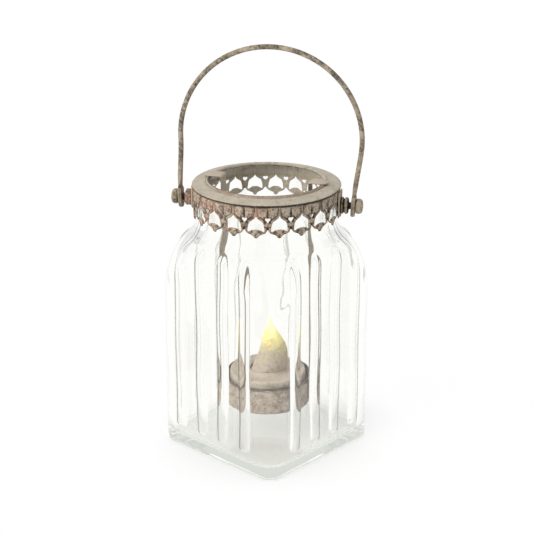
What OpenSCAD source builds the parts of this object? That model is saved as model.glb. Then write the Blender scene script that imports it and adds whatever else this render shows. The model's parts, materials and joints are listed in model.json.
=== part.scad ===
// Lantern made of a square ribbed glass jar with a pierced metal collar, a swinging bail,
// a candle cup that hangs inside on two straps, and a battery tealight in the cup.
// Millimetres, +Z up. The origin is on the table, under the jar's axis.
// X runs along the bail's hinge axis.

/* [Glass jar] */
// Width of the jar across its flat sides
jar_w = 82; // [78:1:90]
// Radius of the jar's upright corners
jar_corner_r = 12; // [9:0.5:15]
// Height of the glass up to the top of its lip
jar_h = 142.6; // [135:0.2:160]
// Thickness of the glass walls
glass_t = 3.2; // [2.6:0.1:4]
// Thickness of the glass floor
floor_t = 5.6; // [4:0.2:8]
// Radius of the rounded heel around the base
heel_r = 4; // [2:0.5:5]
// Height of the straight neck with its lip
neck_h = 14; // [13:0.5:20]
// Radius of the bead around the lip, which the collar fits over
bead_r = 36.6; // [36:0.1:38]
// Height of the bead around the lip
bead_h = 4.8; // [4:0.2:5]
// How far the bead stands out from the neck
bead_out = 1.3; // [1:0.1:1.8]
// Thickness of the neck's glass
neck_t = 4.3; // [3.6:0.1:5]
// Radius of the rounding on top of the lip
lip_round_r = 2; // [1:0.1:2.1]
// Inward reach of the domed shoulder
shoulder_reach = 26; // [22:0.5:30]
// Height that the full dome of the shoulder would have
shoulder_rise = 36; // [30:1:42]
// Inward reach of the hollow curve between shoulder and neck
hollow_reach = 6; // [4:0.5:8]
// Turn of the jar's diagonal from the hinge axis, in degrees
jar_turn = 12.8; // [-15:0.2:15]

/* [Glass ribs] */
// Number of ribs on each side of the jar
rib_count = 4; // [2:1:4]
// Distance from rib to rib
rib_pitch = 15.2; // [13:0.2:15.6]
// Width of a rib where it meets the glass
rib_w = 7.6; // [5:0.2:9]
// How far a rib stands out
rib_h = 1.3; // [0.8:0.1:2]
// Height of the lower end of the ribs
rib_bottom_z = 11.5; // [9:0.5:20]
// Height of the upper end of the ribs
rib_top_z = 104; // [80:1:105]

/* [Collar] */
// How far the collar plate covers the mouth of the jar
plate_reach = 2; // [1:0.1:3]
// Thickness of the collar plate
plate_t = 0.9; // [0.6:0.1:1.2]
// Rise of the collar plate from its outer edge inwards, per millimetre
plate_slope = 0.19; // [0:0.01:0.3]
// Radius of the roll around the opening
roll_r = 0.95; // [0.7:0.05:1.2]
// Overhang of the collar plate past the pierced skirt
plate_overhang = 0.4; // [0.2:0.1:1]

/* [Pierced skirt] */
// Number of motifs around the skirt
motif_count = 20; // [16:2:24]
// Thickness of the skirt
band_t = 0.9; // [0.6:0.1:1.1]
// Depth of the skirt to the tips, below the plate's edge
band_drop = 17.6; // [15:0.2:18]
// Turn of the motifs from the hinge axis, in degrees
motif_turn = 2.6; // [0:0.2:9]

/* [Lugs and pins] */
// Width of a lug plate
lug_w = 10; // [8:0.5:12]
// Thickness of a lug plate
lug_t = 1; // [0.6:0.1:1.5]
// Length of a lug plate
lug_len = 13.4; // [11:0.2:14]
// Radius of the round boss on a lug plate
boss_r = 4.3; // [3.5:0.1:4.6]
// Length of the boss
boss_len = 3.5; // [2.5:0.1:5]
// Free room on the pin between the boss and the bail's eye
bail_play = 1.65; // [0.5:0.05:2]
// Radius of the pivot pin
pin_r = 1.8; // [1.2:0.1:2.2]
// Drop of the pin axis below the plate's edge
pin_drop = 9.8; // [8:0.1:10]
// Radius of the pin's bun head
head_r = 3.9; // [3:0.1:4.5]
// Thickness of the pin's bun head
head_t = 3.5; // [2:0.1:4]
// Radius of the pin's clinched inner end
tail_r = 2.7; // [2.2:0.1:2.8]
// Thickness of the pin's clinched inner end
tail_t = 0.8; // [0.5:0.1:0.9]

/* [Bail] */
// Radius of the bail wire
wire_r = 1.3; // [1:0.1:1.8]
// Height of the middle of the round top above the pin axis
arch_rise = 33.6; // [28:0.2:40]
// Inward lean of the bail's legs, in degrees
leg_lean = 3; // [0:0.5:4]
// Thickness of the flattened eye
eye_t = 2; // [1.6:0.1:2.4]
// Radius of the eye's rounded ends
eye_r = 3.8; // [3.3:0.1:4.5]
// Drop of the eye's lower rounding below the pin axis
eye_drop = 1.9; // [0:0.1:3]

/* [Candle holder] */
// Room around the tealight in the candle cup
cup_room = 2.8; // [2:0.1:3.4]
// Height of the candle cup
cup_h = 15.5; // [12:0.5:20]
// Height of the candle cup's base above the table
cup_z = 23.2; // [15:0.2:40]
// Thickness of the cup's sheet
cup_t = 0.8; // [0.6:0.1:1.2]
// Radius of the rolled edge around the cup's rim
cup_roll_r = 0.7; // [0.5:0.1:1]
// Width of the hanger straps
strap_w = 8.4; // [6:0.2:10]
// Thickness of the hanger straps
strap_t = 0.9; // [0.6:0.1:1.2]
// Turn of the straps from the hinge axis, in degrees
hanger_turn = -4; // [-10:0.5:10]
// Radius of the rivet heads on the straps
rivet_head_r = 1.9; // [1.5:0.1:2.5]
// Radius of the rivet shanks on the straps
rivet_r = 1; // [0.7:0.1:1.3]

/* [Tealight] */
// Outer radius of the tealight
tea_r = 19; // [18:0.1:20]
// Height of the tealight's body
tea_h = 17.4; // [15:0.2:20]
// Wall thickness of the tealight's body
tea_t = 1.3; // [1:0.1:1.8]
// Radius of the flame bulb at its base
flame_r = 8; // [6:0.1:9]
// Height of the flame bulb above the tealight's body
flame_h = 28.6; // [20:0.2:34]
// Wall thickness of the flame bulb
flame_t = 1; // [0.8:0.1:1.4]
// Radius of the light-emitting diode
led_r = 2.5; // [1.5:0.1:3]
// Radius of the coin cell
cell_r = 10; // [8:0.1:10.2]
// Thickness of the coin cell
cell_h = 3.2; // [2.5:0.1:4]
// Room between the coin cell and the edge of the battery door
cell_room = 1; // [0.8:0.1:1.2]
// Radius of the door screw's head
screw_head_r = 1.7; // [1.3:0.1:1.8]
// Width of the on/off slider's knob
switch_w = 2; // [1.6:0.1:2.2]
// Length of the on/off slider's knob
switch_l = 2.2; // [1.6:0.1:2.6]
// Travel of the on/off slider
switch_travel = 2; // [1.2:0.1:2.4]

/* [Clearances] */
// Gap between pieces that rest on each other and can be parted
seat_gap = 0.3; // [0.2:0.05:0.4]
// Radial clearance of a pin in its hole
pin_clear = 0.05; // [0.02:0.01:0.09]
// Sideways gap between the bail's eye and the pin's head
eye_gap = 0.35; // [0.3:0.05:0.6]
// Gap between pieces that are soldered or glued together
joint_gap = 0.05; // [0.02:0.01:0.1]

/* [Hidden] */
$fn = 96;
EPS = 0.01;
CUT = 1;
LENGTHEN = 200;

// --- derived: neck, collar and skirt ---
neck_r = bead_r - bead_out;
mouth_r = neck_r - neck_t;
opening_r = mouth_r - plate_reach;
band_in_r = bead_r + seat_gap;
band_out_r = band_in_r + band_t;
plate_r = band_out_r + plate_overhang;
seat_r = bead_r - lip_round_r;
// --- derived: collar heights ---
roll_lift = 0.2;
edge_z = jar_h + seat_gap + plate_t - (plate_r - seat_r) * plate_slope;
roll_mid_r = opening_r + roll_r;
roll_z = edge_z + (plate_r - roll_mid_r) * plate_slope - plate_t / 2 + roll_lift;
pin_z = edge_z - pin_drop;
// --- derived: jar ---
corner_mid = jar_w / 2 - jar_corner_r;
dome_room = 0.3;
dome_r = corner_mid * sqrt(2) + jar_corner_r + dome_room;
shoulder_mid_z = jar_h - neck_h - shoulder_h(neck_r, dome_r, shoulder_reach, shoulder_rise);
bead_z = jar_h - bead_h;
mouth_ease = 0.8;
rib_arc_r = (rib_w * rib_w / 4 + rib_h * rib_h) / (2 * rib_h);
rib_end = rib_w / 2;
// --- derived: lug stack along the hinge axis ---
lug_out_r = band_out_r + joint_gap + lug_t;
boss_x = lug_out_r + boss_len;
eye_mid_x = boss_x + bail_play + eye_t / 2;
head_x = eye_mid_x + eye_t / 2 + eye_gap;
tail_x = bead_r;
lug_drop = 1.6;
lug_top_z = edge_z - plate_t - lug_drop;
arch_r = (eye_mid_x + arch_rise * tan(leg_lean)) * cos(leg_lean);
// --- derived: hanger ---
cup_r = tea_r + cup_room + cup_t;
hook_room = 0.1;
hook_x = opening_r + 2 * roll_r + seat_gap + hook_room;
tab_reach = hook_x + strap_t;
tab_z = roll_z + roll_r + seat_gap;
strap_x = cup_r + joint_gap;
cup_top_z = cup_z + cup_h;
rivet_z = cup_z + cup_h * 0.55;
// --- derived: tealight ---
tea_z = cup_z + cup_t + seat_gap;
tea_top_z = tea_z + tea_h;
tea_in_r = tea_r - tea_t;
deck_drop = 1.5;
deck_z = tea_top_z - deck_drop;
flame_gap = 0.15;
flame_power = 1.6;
// --- derived: electric parts ---
floor_in_z = tea_z + tea_t;
leaf_t = 0.3;
leaf_w = 3;
leaf_reach = 4;
leaf_rise = 0.9;
cell_z = floor_in_z + leaf_rise;
board_room = 1.6;
board_lap = 2.5;
board_z = cell_z + cell_h + board_room;
board_t = 1;
board_r = cell_r + board_lap;
led_sink = 2;
led_z = tea_top_z - led_sink;
// --- derived: battery door and its screw ---
door_t = tea_t - joint_gap;
door_r = cell_r + cell_room;
door_gap = 0.15;
ear_rim = 0.7;
ear_r = screw_head_r + ear_rim;
ear_out = 1.4;
screw_x = door_r + ear_out;
screw_r = 0.8;
screw_len = 3.4;
screw_head_t = 0.8;
screw_post_r = 2;
screw_post_h = 4.6;
// --- derived: switch ---
case_wall = 0.5;
case_h = 2.8;
slide_lap = 0.4;
slot_w = switch_w + 2 * seat_gap;
slot_l = switch_l + switch_travel + 2 * seat_gap;
slide_w = slot_w + 2 * slide_lap;
slide_l = slot_l + 2 * slide_lap;
case_w = slide_w + 2 * (seat_gap + case_wall);
case_l = slide_l + switch_travel + 2 * (seat_gap + case_wall);
switch_x = door_r + door_gap + seat_gap + case_w / 2;

// A flat square with round corners
module rounded_square(width, corner_r) {
    mid = width / 2 - corner_r;
    union() {
        square([width, 2 * mid], center = true);
        square([2 * mid, width], center = true);
        for (sx = [-1, 1], sy = [-1, 1])
            translate([sx * mid, sy * mid])
                circle(r = corner_r);
    }
}

// Angle on the shoulder's ellipse at which the hollow curve into the neck starts
function hollow_angle(top_r, out_r, reach) =
    acos((top_r + hollow_reach - (out_r - reach)) / reach);

// Height from the middle of the shoulder's ellipse to the foot of the straight neck
function shoulder_h(top_r, out_r, reach, rise) =
    let (a = hollow_angle(top_r, out_r, reach),
        step_z = hollow_reach * rise * cos(a) / (reach * sin(a)))
    rise * sin(a) + step_z + norm([hollow_reach, step_z]);

// Shoulder outline from its widest ring up to the neck: an ellipse, then a hollow curve
function shoulder_points(top_r, out_r, reach, rise) =
    let (steps = 12, bends = 5,
        a = hollow_angle(top_r, out_r, reach),
        step_z = hollow_reach * rise * cos(a) / (reach * sin(a)),
        from = [top_r + hollow_reach, shoulder_mid_z + rise * sin(a)],
        via = [top_r, from[1] + step_z],
        to = [top_r, via[1] + norm([hollow_reach, step_z])])
    concat(
        [for (k = [0 : steps - 1])
            [out_r - reach + reach * cos(a * k / steps), shoulder_mid_z + rise * sin(a * k / steps)]],
        [for (k = [0 : bends])
            let (t = k / bends)
            (1 - t) * (1 - t) * from + 2 * t * (1 - t) * via + t * t * to]
    );

// Slab with rounded lower edges, as wide as the jar
module heel_slab() {
    steps = 5;
    half = jar_w / 2;
    corner = [for (k = [0 : steps])
        let (a = -90 + 90 * k / steps)
        [half - heel_r + heel_r * cos(a), heel_r + heel_r * sin(a)]];
    mirror_corner = [for (k = [steps : -1 : 0]) [-corner[k][0], corner[k][1]]];
    rotate([90, 0, 0])
        linear_extrude(height = LENGTHEN, center = true)
            polygon(concat(corner, [[half, jar_h + CUT], [-half, jar_h + CUT]], mirror_corner));
}

// Upright round bar with blunt round ends; only its outer side stands out of the glass
module rib_bar(length) {
    steps = 6;
    low = [for (k = [1 : steps])
        let (a = -90 + 90 * k / steps)
        [rib_arc_r * cos(a), rib_end * (1 + sin(a))]];
    high = [for (k = [0 : steps - 1])
        let (a = 90 * k / steps)
        [rib_arc_r * cos(a), length - rib_end * (1 - sin(a))]];
    rotate_extrude()
        polygon(concat([[0, 0]], low, high, [[0, length]]));
}

module jar_ribs() {
    first = -(rib_count - 1) / 2 * rib_pitch;
    for (side = [0 : 3], k = [0 : rib_count - 1])
        rotate([0, 0, 90 * side])
            translate([jar_w / 2 + rib_h - rib_arc_r, first + k * rib_pitch, rib_bottom_z])
                rib_bar(rib_top_z - rib_bottom_z);
}

// Round form of the jar's outside: dome, neck and beaded lip in one outline
module jar_round_outside() {
    steps = 5;
    lip = [for (k = [0 : steps])
        let (a = 90 * k / steps)
        [bead_r - lip_round_r * (1 - cos(a)), jar_h - lip_round_r * (1 - sin(a))]];
    rotate_extrude()
        polygon(concat(
            [[0, -CUT], [dome_r, -CUT]],
            shoulder_points(neck_r, dome_r, shoulder_reach, shoulder_rise),
            [[neck_r, bead_z - (bead_r - neck_r)], [bead_r, bead_z]],
            lip,
            [[0, jar_h]]));
}

module jar_outside() {
    intersection() {
        linear_extrude(height = jar_h + CUT)
            rounded_square(jar_w, jar_corner_r);
        heel_slab();
        rotate([0, 0, 90])
            heel_slab();
        jar_round_outside();
    }
}

module jar_inside() {
    swell = 1;
    intersection() {
        translate([0, 0, floor_t])
            linear_extrude(height = jar_h)
                rounded_square(jar_w - 2 * glass_t, jar_corner_r - glass_t);
        rotate_extrude()
            polygon(concat(
                [[0, 0], [dome_r - glass_t, 0]],
                shoulder_points(mouth_r, dome_r - glass_t, shoulder_reach - glass_t + swell,
                    shoulder_rise - glass_t),
                [[mouth_r, jar_h - mouth_ease], [mouth_r + mouth_ease, jar_h],
                 [mouth_r + mouth_ease, jar_h + CUT], [0, jar_h + CUT]]));
    }
}

module glass_jar() {
    color([0.86, 0.9, 0.88, 0.35])
        rotate([0, 0, 45 + jar_turn])
            difference() {
                union() {
                    jar_outside();
                    jar_ribs();
                }
                jar_inside();
            }
}

// Ring over the lip, dished, with a roll around its opening
module collar_plate() {
    inner_top = edge_z + (plate_r - roll_mid_r) * plate_slope;
    edge_round = plate_t * 0.4;
    color([0.7, 0.66, 0.59])
        rotate_extrude() {
            polygon([
                [roll_mid_r, inner_top - plate_t],
                [plate_r, edge_z - plate_t],
                [plate_r, edge_z - edge_round],
                [plate_r - edge_round, edge_z + edge_round * plate_slope],
                [roll_mid_r, inner_top]
            ]);
            translate([roll_mid_r, roll_z])
                circle(r = roll_r, $fn = 24);
        }
}

// The motif's openings, drawn flat: x across the motif, y down from the plate's edge.
// They are laid out for a motif of this width and depth.
DRAWN_PITCH = 12;
DRAWN_DROP = 17.6;
ARCH_HALF = [[0, 6.2], [1.7, 7.8], [3.2, 8.8], [3.8, 10.5], [4.2, 12.6], [4.3, 13.5],
    [3.4, 13.7], [2.5, 13.1], [0, 12.7]];
HEART_HALF = [[0, 7.3], [0.45, 7.1], [1.1, 7.1], [1.4, 7.6], [1.2, 8.1], [0, 9.4]];
VALLEY_HALF = [[0, 13.1], [0.6, 14], [1.6, 15.1], [3.3, 15.6], [4.4, 16.2], [5.1, 17.3],
    [5.6, 17.6], [6, 18.6]];

// A half outline and its mirror image, scaled to the skirt and set upright
function mirrored(half) =
    let (motif_w = 360 / motif_count * PI / 180 * band_out_r,
        sx = motif_w / DRAWN_PITCH,
        sy = band_drop / DRAWN_DROP)
    concat(
        [for (p = half) [p[0] * sx, -p[1] * sy]],
        [for (k = [len(half) - 1 : -1 : 0]) if (half[k][0] > 0) [-half[k][0] * sx, -half[k][1] * sy]]
    );

// Cutter that stands radially through the skirt
module radial_cut(points) {
    translate([0, 0, edge_z])
        rotate([90, 0, 90])
            linear_extrude(height = LENGTHEN)
                polygon(points);
}

module motif_cuts() {
    radial_cut(mirrored(ARCH_HALF));
    rotate([0, 0, 180 / motif_count]) {
        radial_cut(mirrored(HEART_HALF));
        radial_cut(mirrored(VALLEY_HALF));
    }
}

// Half of the skirt: side is -1 for the front half and 1 for the rear half
module lace_band(side) {
    top_z = edge_z - plate_t - joint_gap;
    low_z = edge_z - band_drop;
    step = 360 / motif_count;
    seam = joint_gap / 2 / band_in_r * 180 / PI;
    color([0.61, 0.57, 0.5])
        rotate([0, 0, side > 0 ? 0 : 180])
            difference() {
                rotate([0, 0, seam])
                    rotate_extrude(angle = 180 - 2 * seam)
                        translate([band_in_r, low_z])
                            square([band_t, top_z - low_z]);
                for (k = [-1 : motif_count / 2])
                    rotate([0, 0, motif_turn + k * step])
                        motif_cuts();
                translate([0, 0, pin_z])
                    rotate([0, 90, 0])
                        cylinder(r = pin_r + seat_gap, h = LENGTHEN, center = true);
            }
}

// Holes for the pivot pins through everything on the hinge axis
module pin_holes() {
    translate([0, 0, pin_z])
        rotate([0, 90, 0])
            cylinder(r = pin_r + pin_clear, h = LENGTHEN, center = true);
}

module lace_band_front() {
    lace_band(-1);
}

module lace_band_rear() {
    lace_band(1);
}

// Curved plate over a seam of the skirt, pointed at its lower end
module lug_plate(side) {
    low_z = lug_top_z - lug_len;
    point_h = 2.6;
    color([0.6, 0.56, 0.49])
        mirror([side < 0 ? 1 : 0, 0, 0])
            difference() {
                intersection() {
                    translate([0, 0, low_z])
                        cylinder(r = lug_out_r, h = lug_len);
                    rotate([90, 0, 90])
                        linear_extrude(height = LENGTHEN)
                            polygon([[-lug_w / 2, lug_top_z + CUT], [-lug_w / 2, low_z + point_h],
                                [-lug_w / 5, low_z + point_h * 0.4], [0, low_z],
                                [lug_w / 5, low_z + point_h * 0.4], [lug_w / 2, low_z + point_h],
                                [lug_w / 2, lug_top_z + CUT]]);
                }
                translate([0, 0, low_z - CUT])
                    cylinder(r = band_out_r + joint_gap, h = lug_len + 2 * CUT);
                pin_holes();
            }
}

module lug_plate_left() {
    lug_plate(-1);
}

module lug_plate_right() {
    lug_plate(1);
}

// Round spacer that stands on the lug plate; its foot follows the plate's curve
module lug_boss(side) {
    ease = 0.5;
    root_x = lug_out_r - 2;
    color([0.57, 0.51, 0.44])
        mirror([side < 0 ? 1 : 0, 0, 0])
            difference() {
                translate([0, 0, pin_z])
                    rotate([0, 90, 0])
                        rotate_extrude()
                            polygon([[0, root_x], [boss_r, root_x], [boss_r, boss_x - ease],
                                [boss_r - ease, boss_x], [0, boss_x]]);
                cylinder(r = lug_out_r + joint_gap, h = LENGTHEN);
                pin_holes();
            }
}

module lug_boss_left() {
    lug_boss(-1);
}

module lug_boss_right() {
    lug_boss(1);
}

// Rivet that the bail turns on: clinched inner end, shank and bun head
module pivot_pin(side) {
    steps = 5;
    ease = 0.4;
    edge_r = head_t * 0.45;
    bun = [for (k = [0 : steps])
        let (a = 90 * k / steps)
        [head_r - edge_r * (1 - cos(a)), head_x + head_t - edge_r * (1 - sin(a))]];
    color([0.58, 0.52, 0.46])
        mirror([side < 0 ? 1 : 0, 0, 0])
            translate([0, 0, pin_z])
                rotate([0, 90, 0])
                    rotate_extrude()
                        polygon(concat(
                            [[0, tail_x - tail_t], [tail_r, tail_x - tail_t], [tail_r, tail_x],
                             [pin_r, tail_x], [pin_r, head_x], [head_r - ease, head_x],
                             [head_r, head_x + ease]],
                            bun,
                            [[0, head_x + head_t]]));
}

module pivot_pin_left() {
    pivot_pin(-1);
}

module pivot_pin_right() {
    pivot_pin(1);
}

// Flattened end of the bail wire, drilled for the pin
module bail_eye() {
    eye_rise = 2.2;
    translate([eye_mid_x - eye_t / 2, 0, pin_z])
        rotate([90, 0, 90])
            linear_extrude(height = eye_t)
                union() {
                    translate([0, -eye_drop])
                        circle(r = eye_r);
                    translate([0, eye_rise])
                        circle(r = eye_r);
                    translate([-eye_r + EPS * 5, -eye_drop])
                        square([2 * (eye_r - EPS * 5), eye_rise + eye_drop]);
                }
}

// Straight leg of the bail, with a ball that closes its joint with the round top
module bail_leg() {
    eye_lap = head_r + 0.5;
    foot_z = arch_rise - arch_r * sin(leg_lean);
    translate([arch_r * cos(leg_lean), 0, pin_z + foot_z]) {
        rotate([0, 180 + leg_lean, 0])
            cylinder(r = wire_r, h = foot_z / cos(leg_lean) - eye_lap);
        sphere(r = wire_r + 2 * EPS);
    }
}

// Horseshoe of round wire that swings on the two pins
module bail_handle() {
    color([0.6, 0.55, 0.48])
        difference() {
            union() {
                translate([0, 0, pin_z + arch_rise])
                    rotate([90, 0, 0])
                        rotate([0, 0, -leg_lean])
                            rotate_extrude(angle = 180 + 2 * leg_lean)
                                translate([arch_r, 0])
                                    circle(r = wire_r, $fn = 32);
                for (side = [0, 1])
                    mirror([side, 0, 0]) {
                        bail_leg();
                        bail_eye();
                    }
            }
            pin_holes();
        }
}

// Holes for the strap rivets through the cup and the straps
module rivet_holes() {
    translate([0, 0, rivet_z])
        rotate([0, 90, 0])
            cylinder(r = rivet_r + pin_clear, h = LENGTHEN, center = true);
}

// Drum that holds the tealight
module candle_cup() {
    ease = 1.2;
    ease_in = ease + 0.3;
    color([0.71, 0.67, 0.61])
        rotate([0, 0, hanger_turn])
            difference() {
                rotate_extrude() {
                    polygon([[0, cup_z], [cup_r - ease, cup_z], [cup_r, cup_z + ease],
                        [cup_r, cup_top_z - cup_roll_r], [cup_r - cup_t, cup_top_z - cup_roll_r],
                        [cup_r - cup_t, cup_z + ease_in], [cup_r - ease_in, cup_z + cup_t],
                        [0, cup_z + cup_t]]);
                    translate([cup_r - cup_roll_r - joint_gap, cup_top_z - cup_roll_r])
                        circle(r = cup_roll_r, $fn = 20);
                }
                rivet_holes();
            }
}

// Strap down the cup's side, bent over at the top into a tab that hooks on the collar's roll
module hanger_strap(side) {
    low_z = cup_z + 3;
    bend = 1.2;
    nick = 0.4;
    out_x = strap_x + strap_t;
    top_z = tab_z + strap_t;
    hook_z = tab_z - 0.8;
    color([0.66, 0.62, 0.55])
        rotate([0, 0, hanger_turn])
            mirror([side < 0 ? 1 : 0, 0, 0])
                difference() {
                    rotate([90, 0, 0])
                        linear_extrude(height = strap_w, center = true)
                            polygon([[strap_x, low_z], [out_x, low_z],
                                [out_x, tab_z - nick], [out_x + nick, tab_z],
                                [hook_x, tab_z], [hook_x, hook_z], [tab_reach, hook_z],
                                [tab_reach, top_z - nick], [tab_reach - nick, top_z],
                                [strap_x + bend, top_z],
                                [strap_x + bend * 0.3, top_z - bend * 0.3], [strap_x, top_z - bend]]);
                    rivet_holes();
                }
}

module hanger_strap_left() {
    hanger_strap(-1);
}

module hanger_strap_right() {
    hanger_strap(1);
}

// Rivet through strap and cup wall, with a domed head on the strap
module strap_rivet(side) {
    inner_t = 0.5;
    inner_head_r = rivet_head_r * 0.9;
    inner_x = sqrt(pow(cup_r - cup_t, 2) - pow(inner_head_r, 2)) - joint_gap;
    head_base_x = strap_x + strap_t + joint_gap;
    head_rim = 0.3;
    head_dome = 0.8;
    steps = 4;
    dome = [for (k = [0 : steps - 1])
        let (a = 90 * k / steps)
        [rivet_head_r * cos(a), head_base_x + head_rim + head_dome * sin(a)]];
    color([0.55, 0.5, 0.43])
        rotate([0, 0, hanger_turn])
            mirror([side < 0 ? 1 : 0, 0, 0])
                translate([0, 0, rivet_z])
                    rotate([0, 90, 0])
                        rotate_extrude()
                            polygon(concat(
                                [[0, inner_x - inner_t], [inner_head_r, inner_x - inner_t],
                                 [inner_head_r, inner_x], [rivet_r, inner_x],
                                 [rivet_r, head_base_x], [rivet_head_r, head_base_x]],
                                dome,
                                [[0, head_base_x + head_rim + head_dome]]));
}

module strap_rivet_left() {
    strap_rivet(-1);
}

module strap_rivet_right() {
    strap_rivet(1);
}

// Outline of the battery door: a disc with an ear for its screw, grown by a clearance
module door_outline(grow) {
    union() {
        circle(r = door_r + grow);
        translate([-screw_x, 0])
            circle(r = ear_r + grow);
    }
}

// Outside of the tealight: a dished top like melted wax that rises to a collar around the flame
module tealight_outside(hole_r) {
    foot_ease = 0.8;
    rim = [[0, -2.4], [-0.5, -1], [-1.6, -0.5], [-2.8, -0.9], [-4.6, -deck_drop]];
    hill = [[3, -deck_drop], [1.2, -0.7], [0, 0]];
    rotate_extrude()
        polygon(concat(
            [[0, 0], [tea_r - foot_ease, 0], [tea_r, foot_ease]],
            [for (p = rim) [tea_r + p[0], tea_h + p[1]]],
            [for (p = hill) [hole_r + p[0], tea_h + p[1]]],
            [[0, tea_h]]));
}

module tealight_hollow() {
    top_h = tea_h - deck_drop - tea_t;
    ease = 0.7;
    rotate_extrude()
        polygon([[0, tea_t], [tea_in_r, tea_t], [tea_in_r, top_h - ease],
            [tea_in_r - ease, top_h], [0, top_h]]);
}

// Three posts that hold the circuit board under the deck
module board_posts() {
    post_r = 1;
    post_in = 1.6;
    low = board_z + board_t + joint_gap;
    for (a = [30, 150, 270])
        rotate([0, 0, a])
            translate([board_r - post_in, 0, low - tea_z])
                cylinder(r = post_r, h = deck_z - tea_t / 2 - low);
}

// Post for the door's screw, tied to the wall by a web
module screw_post() {
    web_w = 1.6;
    translate([-screw_x, 0, tea_t - EPS]) {
        cylinder(r = screw_post_r, h = screw_post_h);
        translate([screw_x - tea_in_r - tea_t / 2, -web_w / 2, 0])
            cube([tea_in_r + tea_t / 2 - screw_x, web_w, screw_post_h]);
    }
}

// Body of the tealight, open below for the battery door and the switch
module tealight_shell() {
    hole_r = flame_r + flame_gap;
    color([0.85, 0.81, 0.73])
        translate([0, 0, tea_z])
            difference() {
                union() {
                    difference() {
                        tealight_outside(hole_r);
                        tealight_hollow();
                    }
                    board_posts();
                    screw_post();
                }
                translate([0, 0, tea_h / 2])
                    cylinder(r = hole_r, h = tea_h);
                translate([0, 0, -CUT])
                    linear_extrude(height = tea_t + CUT)
                        door_outline(door_gap);
                translate([-screw_x, 0, -CUT])
                    cylinder(r = screw_r + pin_clear, h = CUT + tea_t + screw_len);
                translate([switch_x - slot_w / 2, -slot_l / 2, -CUT])
                    cube([slot_w, slot_l, tea_t + 2 * CUT]);
            }
}

// Outline of the flame, from the deck up to its tip
function flame_points(base_r, height) =
    let (steps = 18)
    [for (k = [0 : steps])
        let (t = k / steps)
        [base_r * (1 - pow(t, flame_power)), deck_z + height * t]];

// Hollow flame that stands up through the deck and is held by a flange under it
module flame_bulb() {
    flange_r = flame_r + 1.5;
    flange_t = 0.9;
    flange_z = deck_z - tea_t - joint_gap;
    full_h = flame_h + deck_drop;
    tip_t = 3 * flame_t;
    outer = flame_points(flame_r, full_h);
    inner = flame_points(flame_r - flame_t, full_h - tip_t);
    color([0.95, 0.85, 0.55])
        rotate_extrude()
            polygon(concat(
                [[flame_r - flame_t, flange_z - flange_t], [flange_r, flange_z - flange_t],
                 [flange_r, flange_z], [flame_r, flange_z]],
                outer,
                [for (k = [len(inner) - 1 : -1 : 0]) inner[k]]));
}

// Round-headed lamp on two leads
module led_lamp() {
    body_h = 3.6;
    rim_w = 0.4;
    rim_t = 1;
    lead_r = 0.3;
    lead_z = board_z + board_t + joint_gap;
    color([0.98, 0.9, 0.6])
        union() {
            translate([0, 0, led_z])
                cylinder(r = led_r + rim_w, h = rim_t);
            translate([0, 0, led_z])
                cylinder(r = led_r, h = rim_t + body_h);
            translate([0, 0, led_z + rim_t + body_h])
                sphere(r = led_r);
            for (side = [-1, 1])
                translate([side * led_r / 2, 0, lead_z])
                    cylinder(r = lead_r, h = led_z - lead_z + rim_t / 2);
        }
}

module circuit_board() {
    color([0.2, 0.42, 0.26])
        translate([0, 0, board_z])
            cylinder(r = board_r, h = board_t);
}

module coin_cell() {
    lip = 0.5;
    lip_in = 1.6;
    ease = 0.2;
    color([0.75, 0.75, 0.76])
        translate([0, 0, cell_z])
            rotate_extrude()
                polygon([[0, 0], [cell_r - lip_in, 0], [cell_r - lip_in + ease, lip], [cell_r, lip],
                    [cell_r, cell_h - ease], [cell_r - ease, cell_h], [0, cell_h]]);
}

// Spring strip over the cell, with a foot up to the board
module cell_contact_upper() {
    low_z = cell_z + cell_h + joint_gap;
    color([0.8, 0.66, 0.4])
        translate([0, -leaf_w / 2, low_z])
            union() {
                translate([-leaf_reach, 0, 0])
                    cube([2 * leaf_reach, leaf_w, leaf_t]);
                translate([leaf_reach - leaf_t, 0, 0])
                    cube([leaf_t, leaf_w, board_z - joint_gap - low_z]);
            }
}

// Spring strip between door and cell, with a foot past the cell up to the board
module cell_contact_lower() {
    foot_x = cell_r + 0.6;
    hump_l = 2;
    color([0.8, 0.66, 0.4])
        translate([0, -leaf_w / 2, floor_in_z])
            union() {
                translate([-leaf_reach, 0, 0])
                    cube([leaf_reach + foot_x, leaf_w, leaf_t]);
                translate([foot_x - leaf_t, 0, 0])
                    cube([leaf_t, leaf_w, board_z - joint_gap - floor_in_z]);
                translate([-hump_l / 2, 0, 0])
                    cube([hump_l, leaf_w, leaf_rise - joint_gap]);
            }
}

// Two tongues on the door's far side that hook over the floor of the tealight
module door_tongues() {
    tongue_w = 3;
    tongue_t = 0.5;
    root = 1.2;
    lap = 1.2;
    for (a = [-45, 45])
        rotate([0, 0, a]) {
            translate([door_r - root, -tongue_w / 2, door_t / 2])
                cube([root - door_gap, tongue_w, door_t / 2 + 2 * joint_gap + tongue_t]);
            translate([door_r - root, -tongue_w / 2, tea_t + joint_gap])
                cube([root + lap, tongue_w, tongue_t]);
        }
}

// Round door in the base, with a finger notch and a screwed ear
module battery_door() {
    notch_r = 1.6;
    notch_x = door_r - 2.2;
    color([0.82, 0.78, 0.7])
        translate([0, 0, tea_z])
            difference() {
                union() {
                    linear_extrude(height = door_t)
                        door_outline(0);
                    door_tongues();
                }
                translate([notch_x, 0, -CUT])
                    cylinder(r = notch_r, h = CUT + door_t * 0.6);
                translate([-screw_x, 0, -CUT])
                    cylinder(r = screw_r + pin_clear, h = door_t + 2 * CUT);
                translate([-screw_x, 0, -CUT])
                    cylinder(r = screw_head_r + door_gap, h = CUT + screw_head_t);
            }
}

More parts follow.
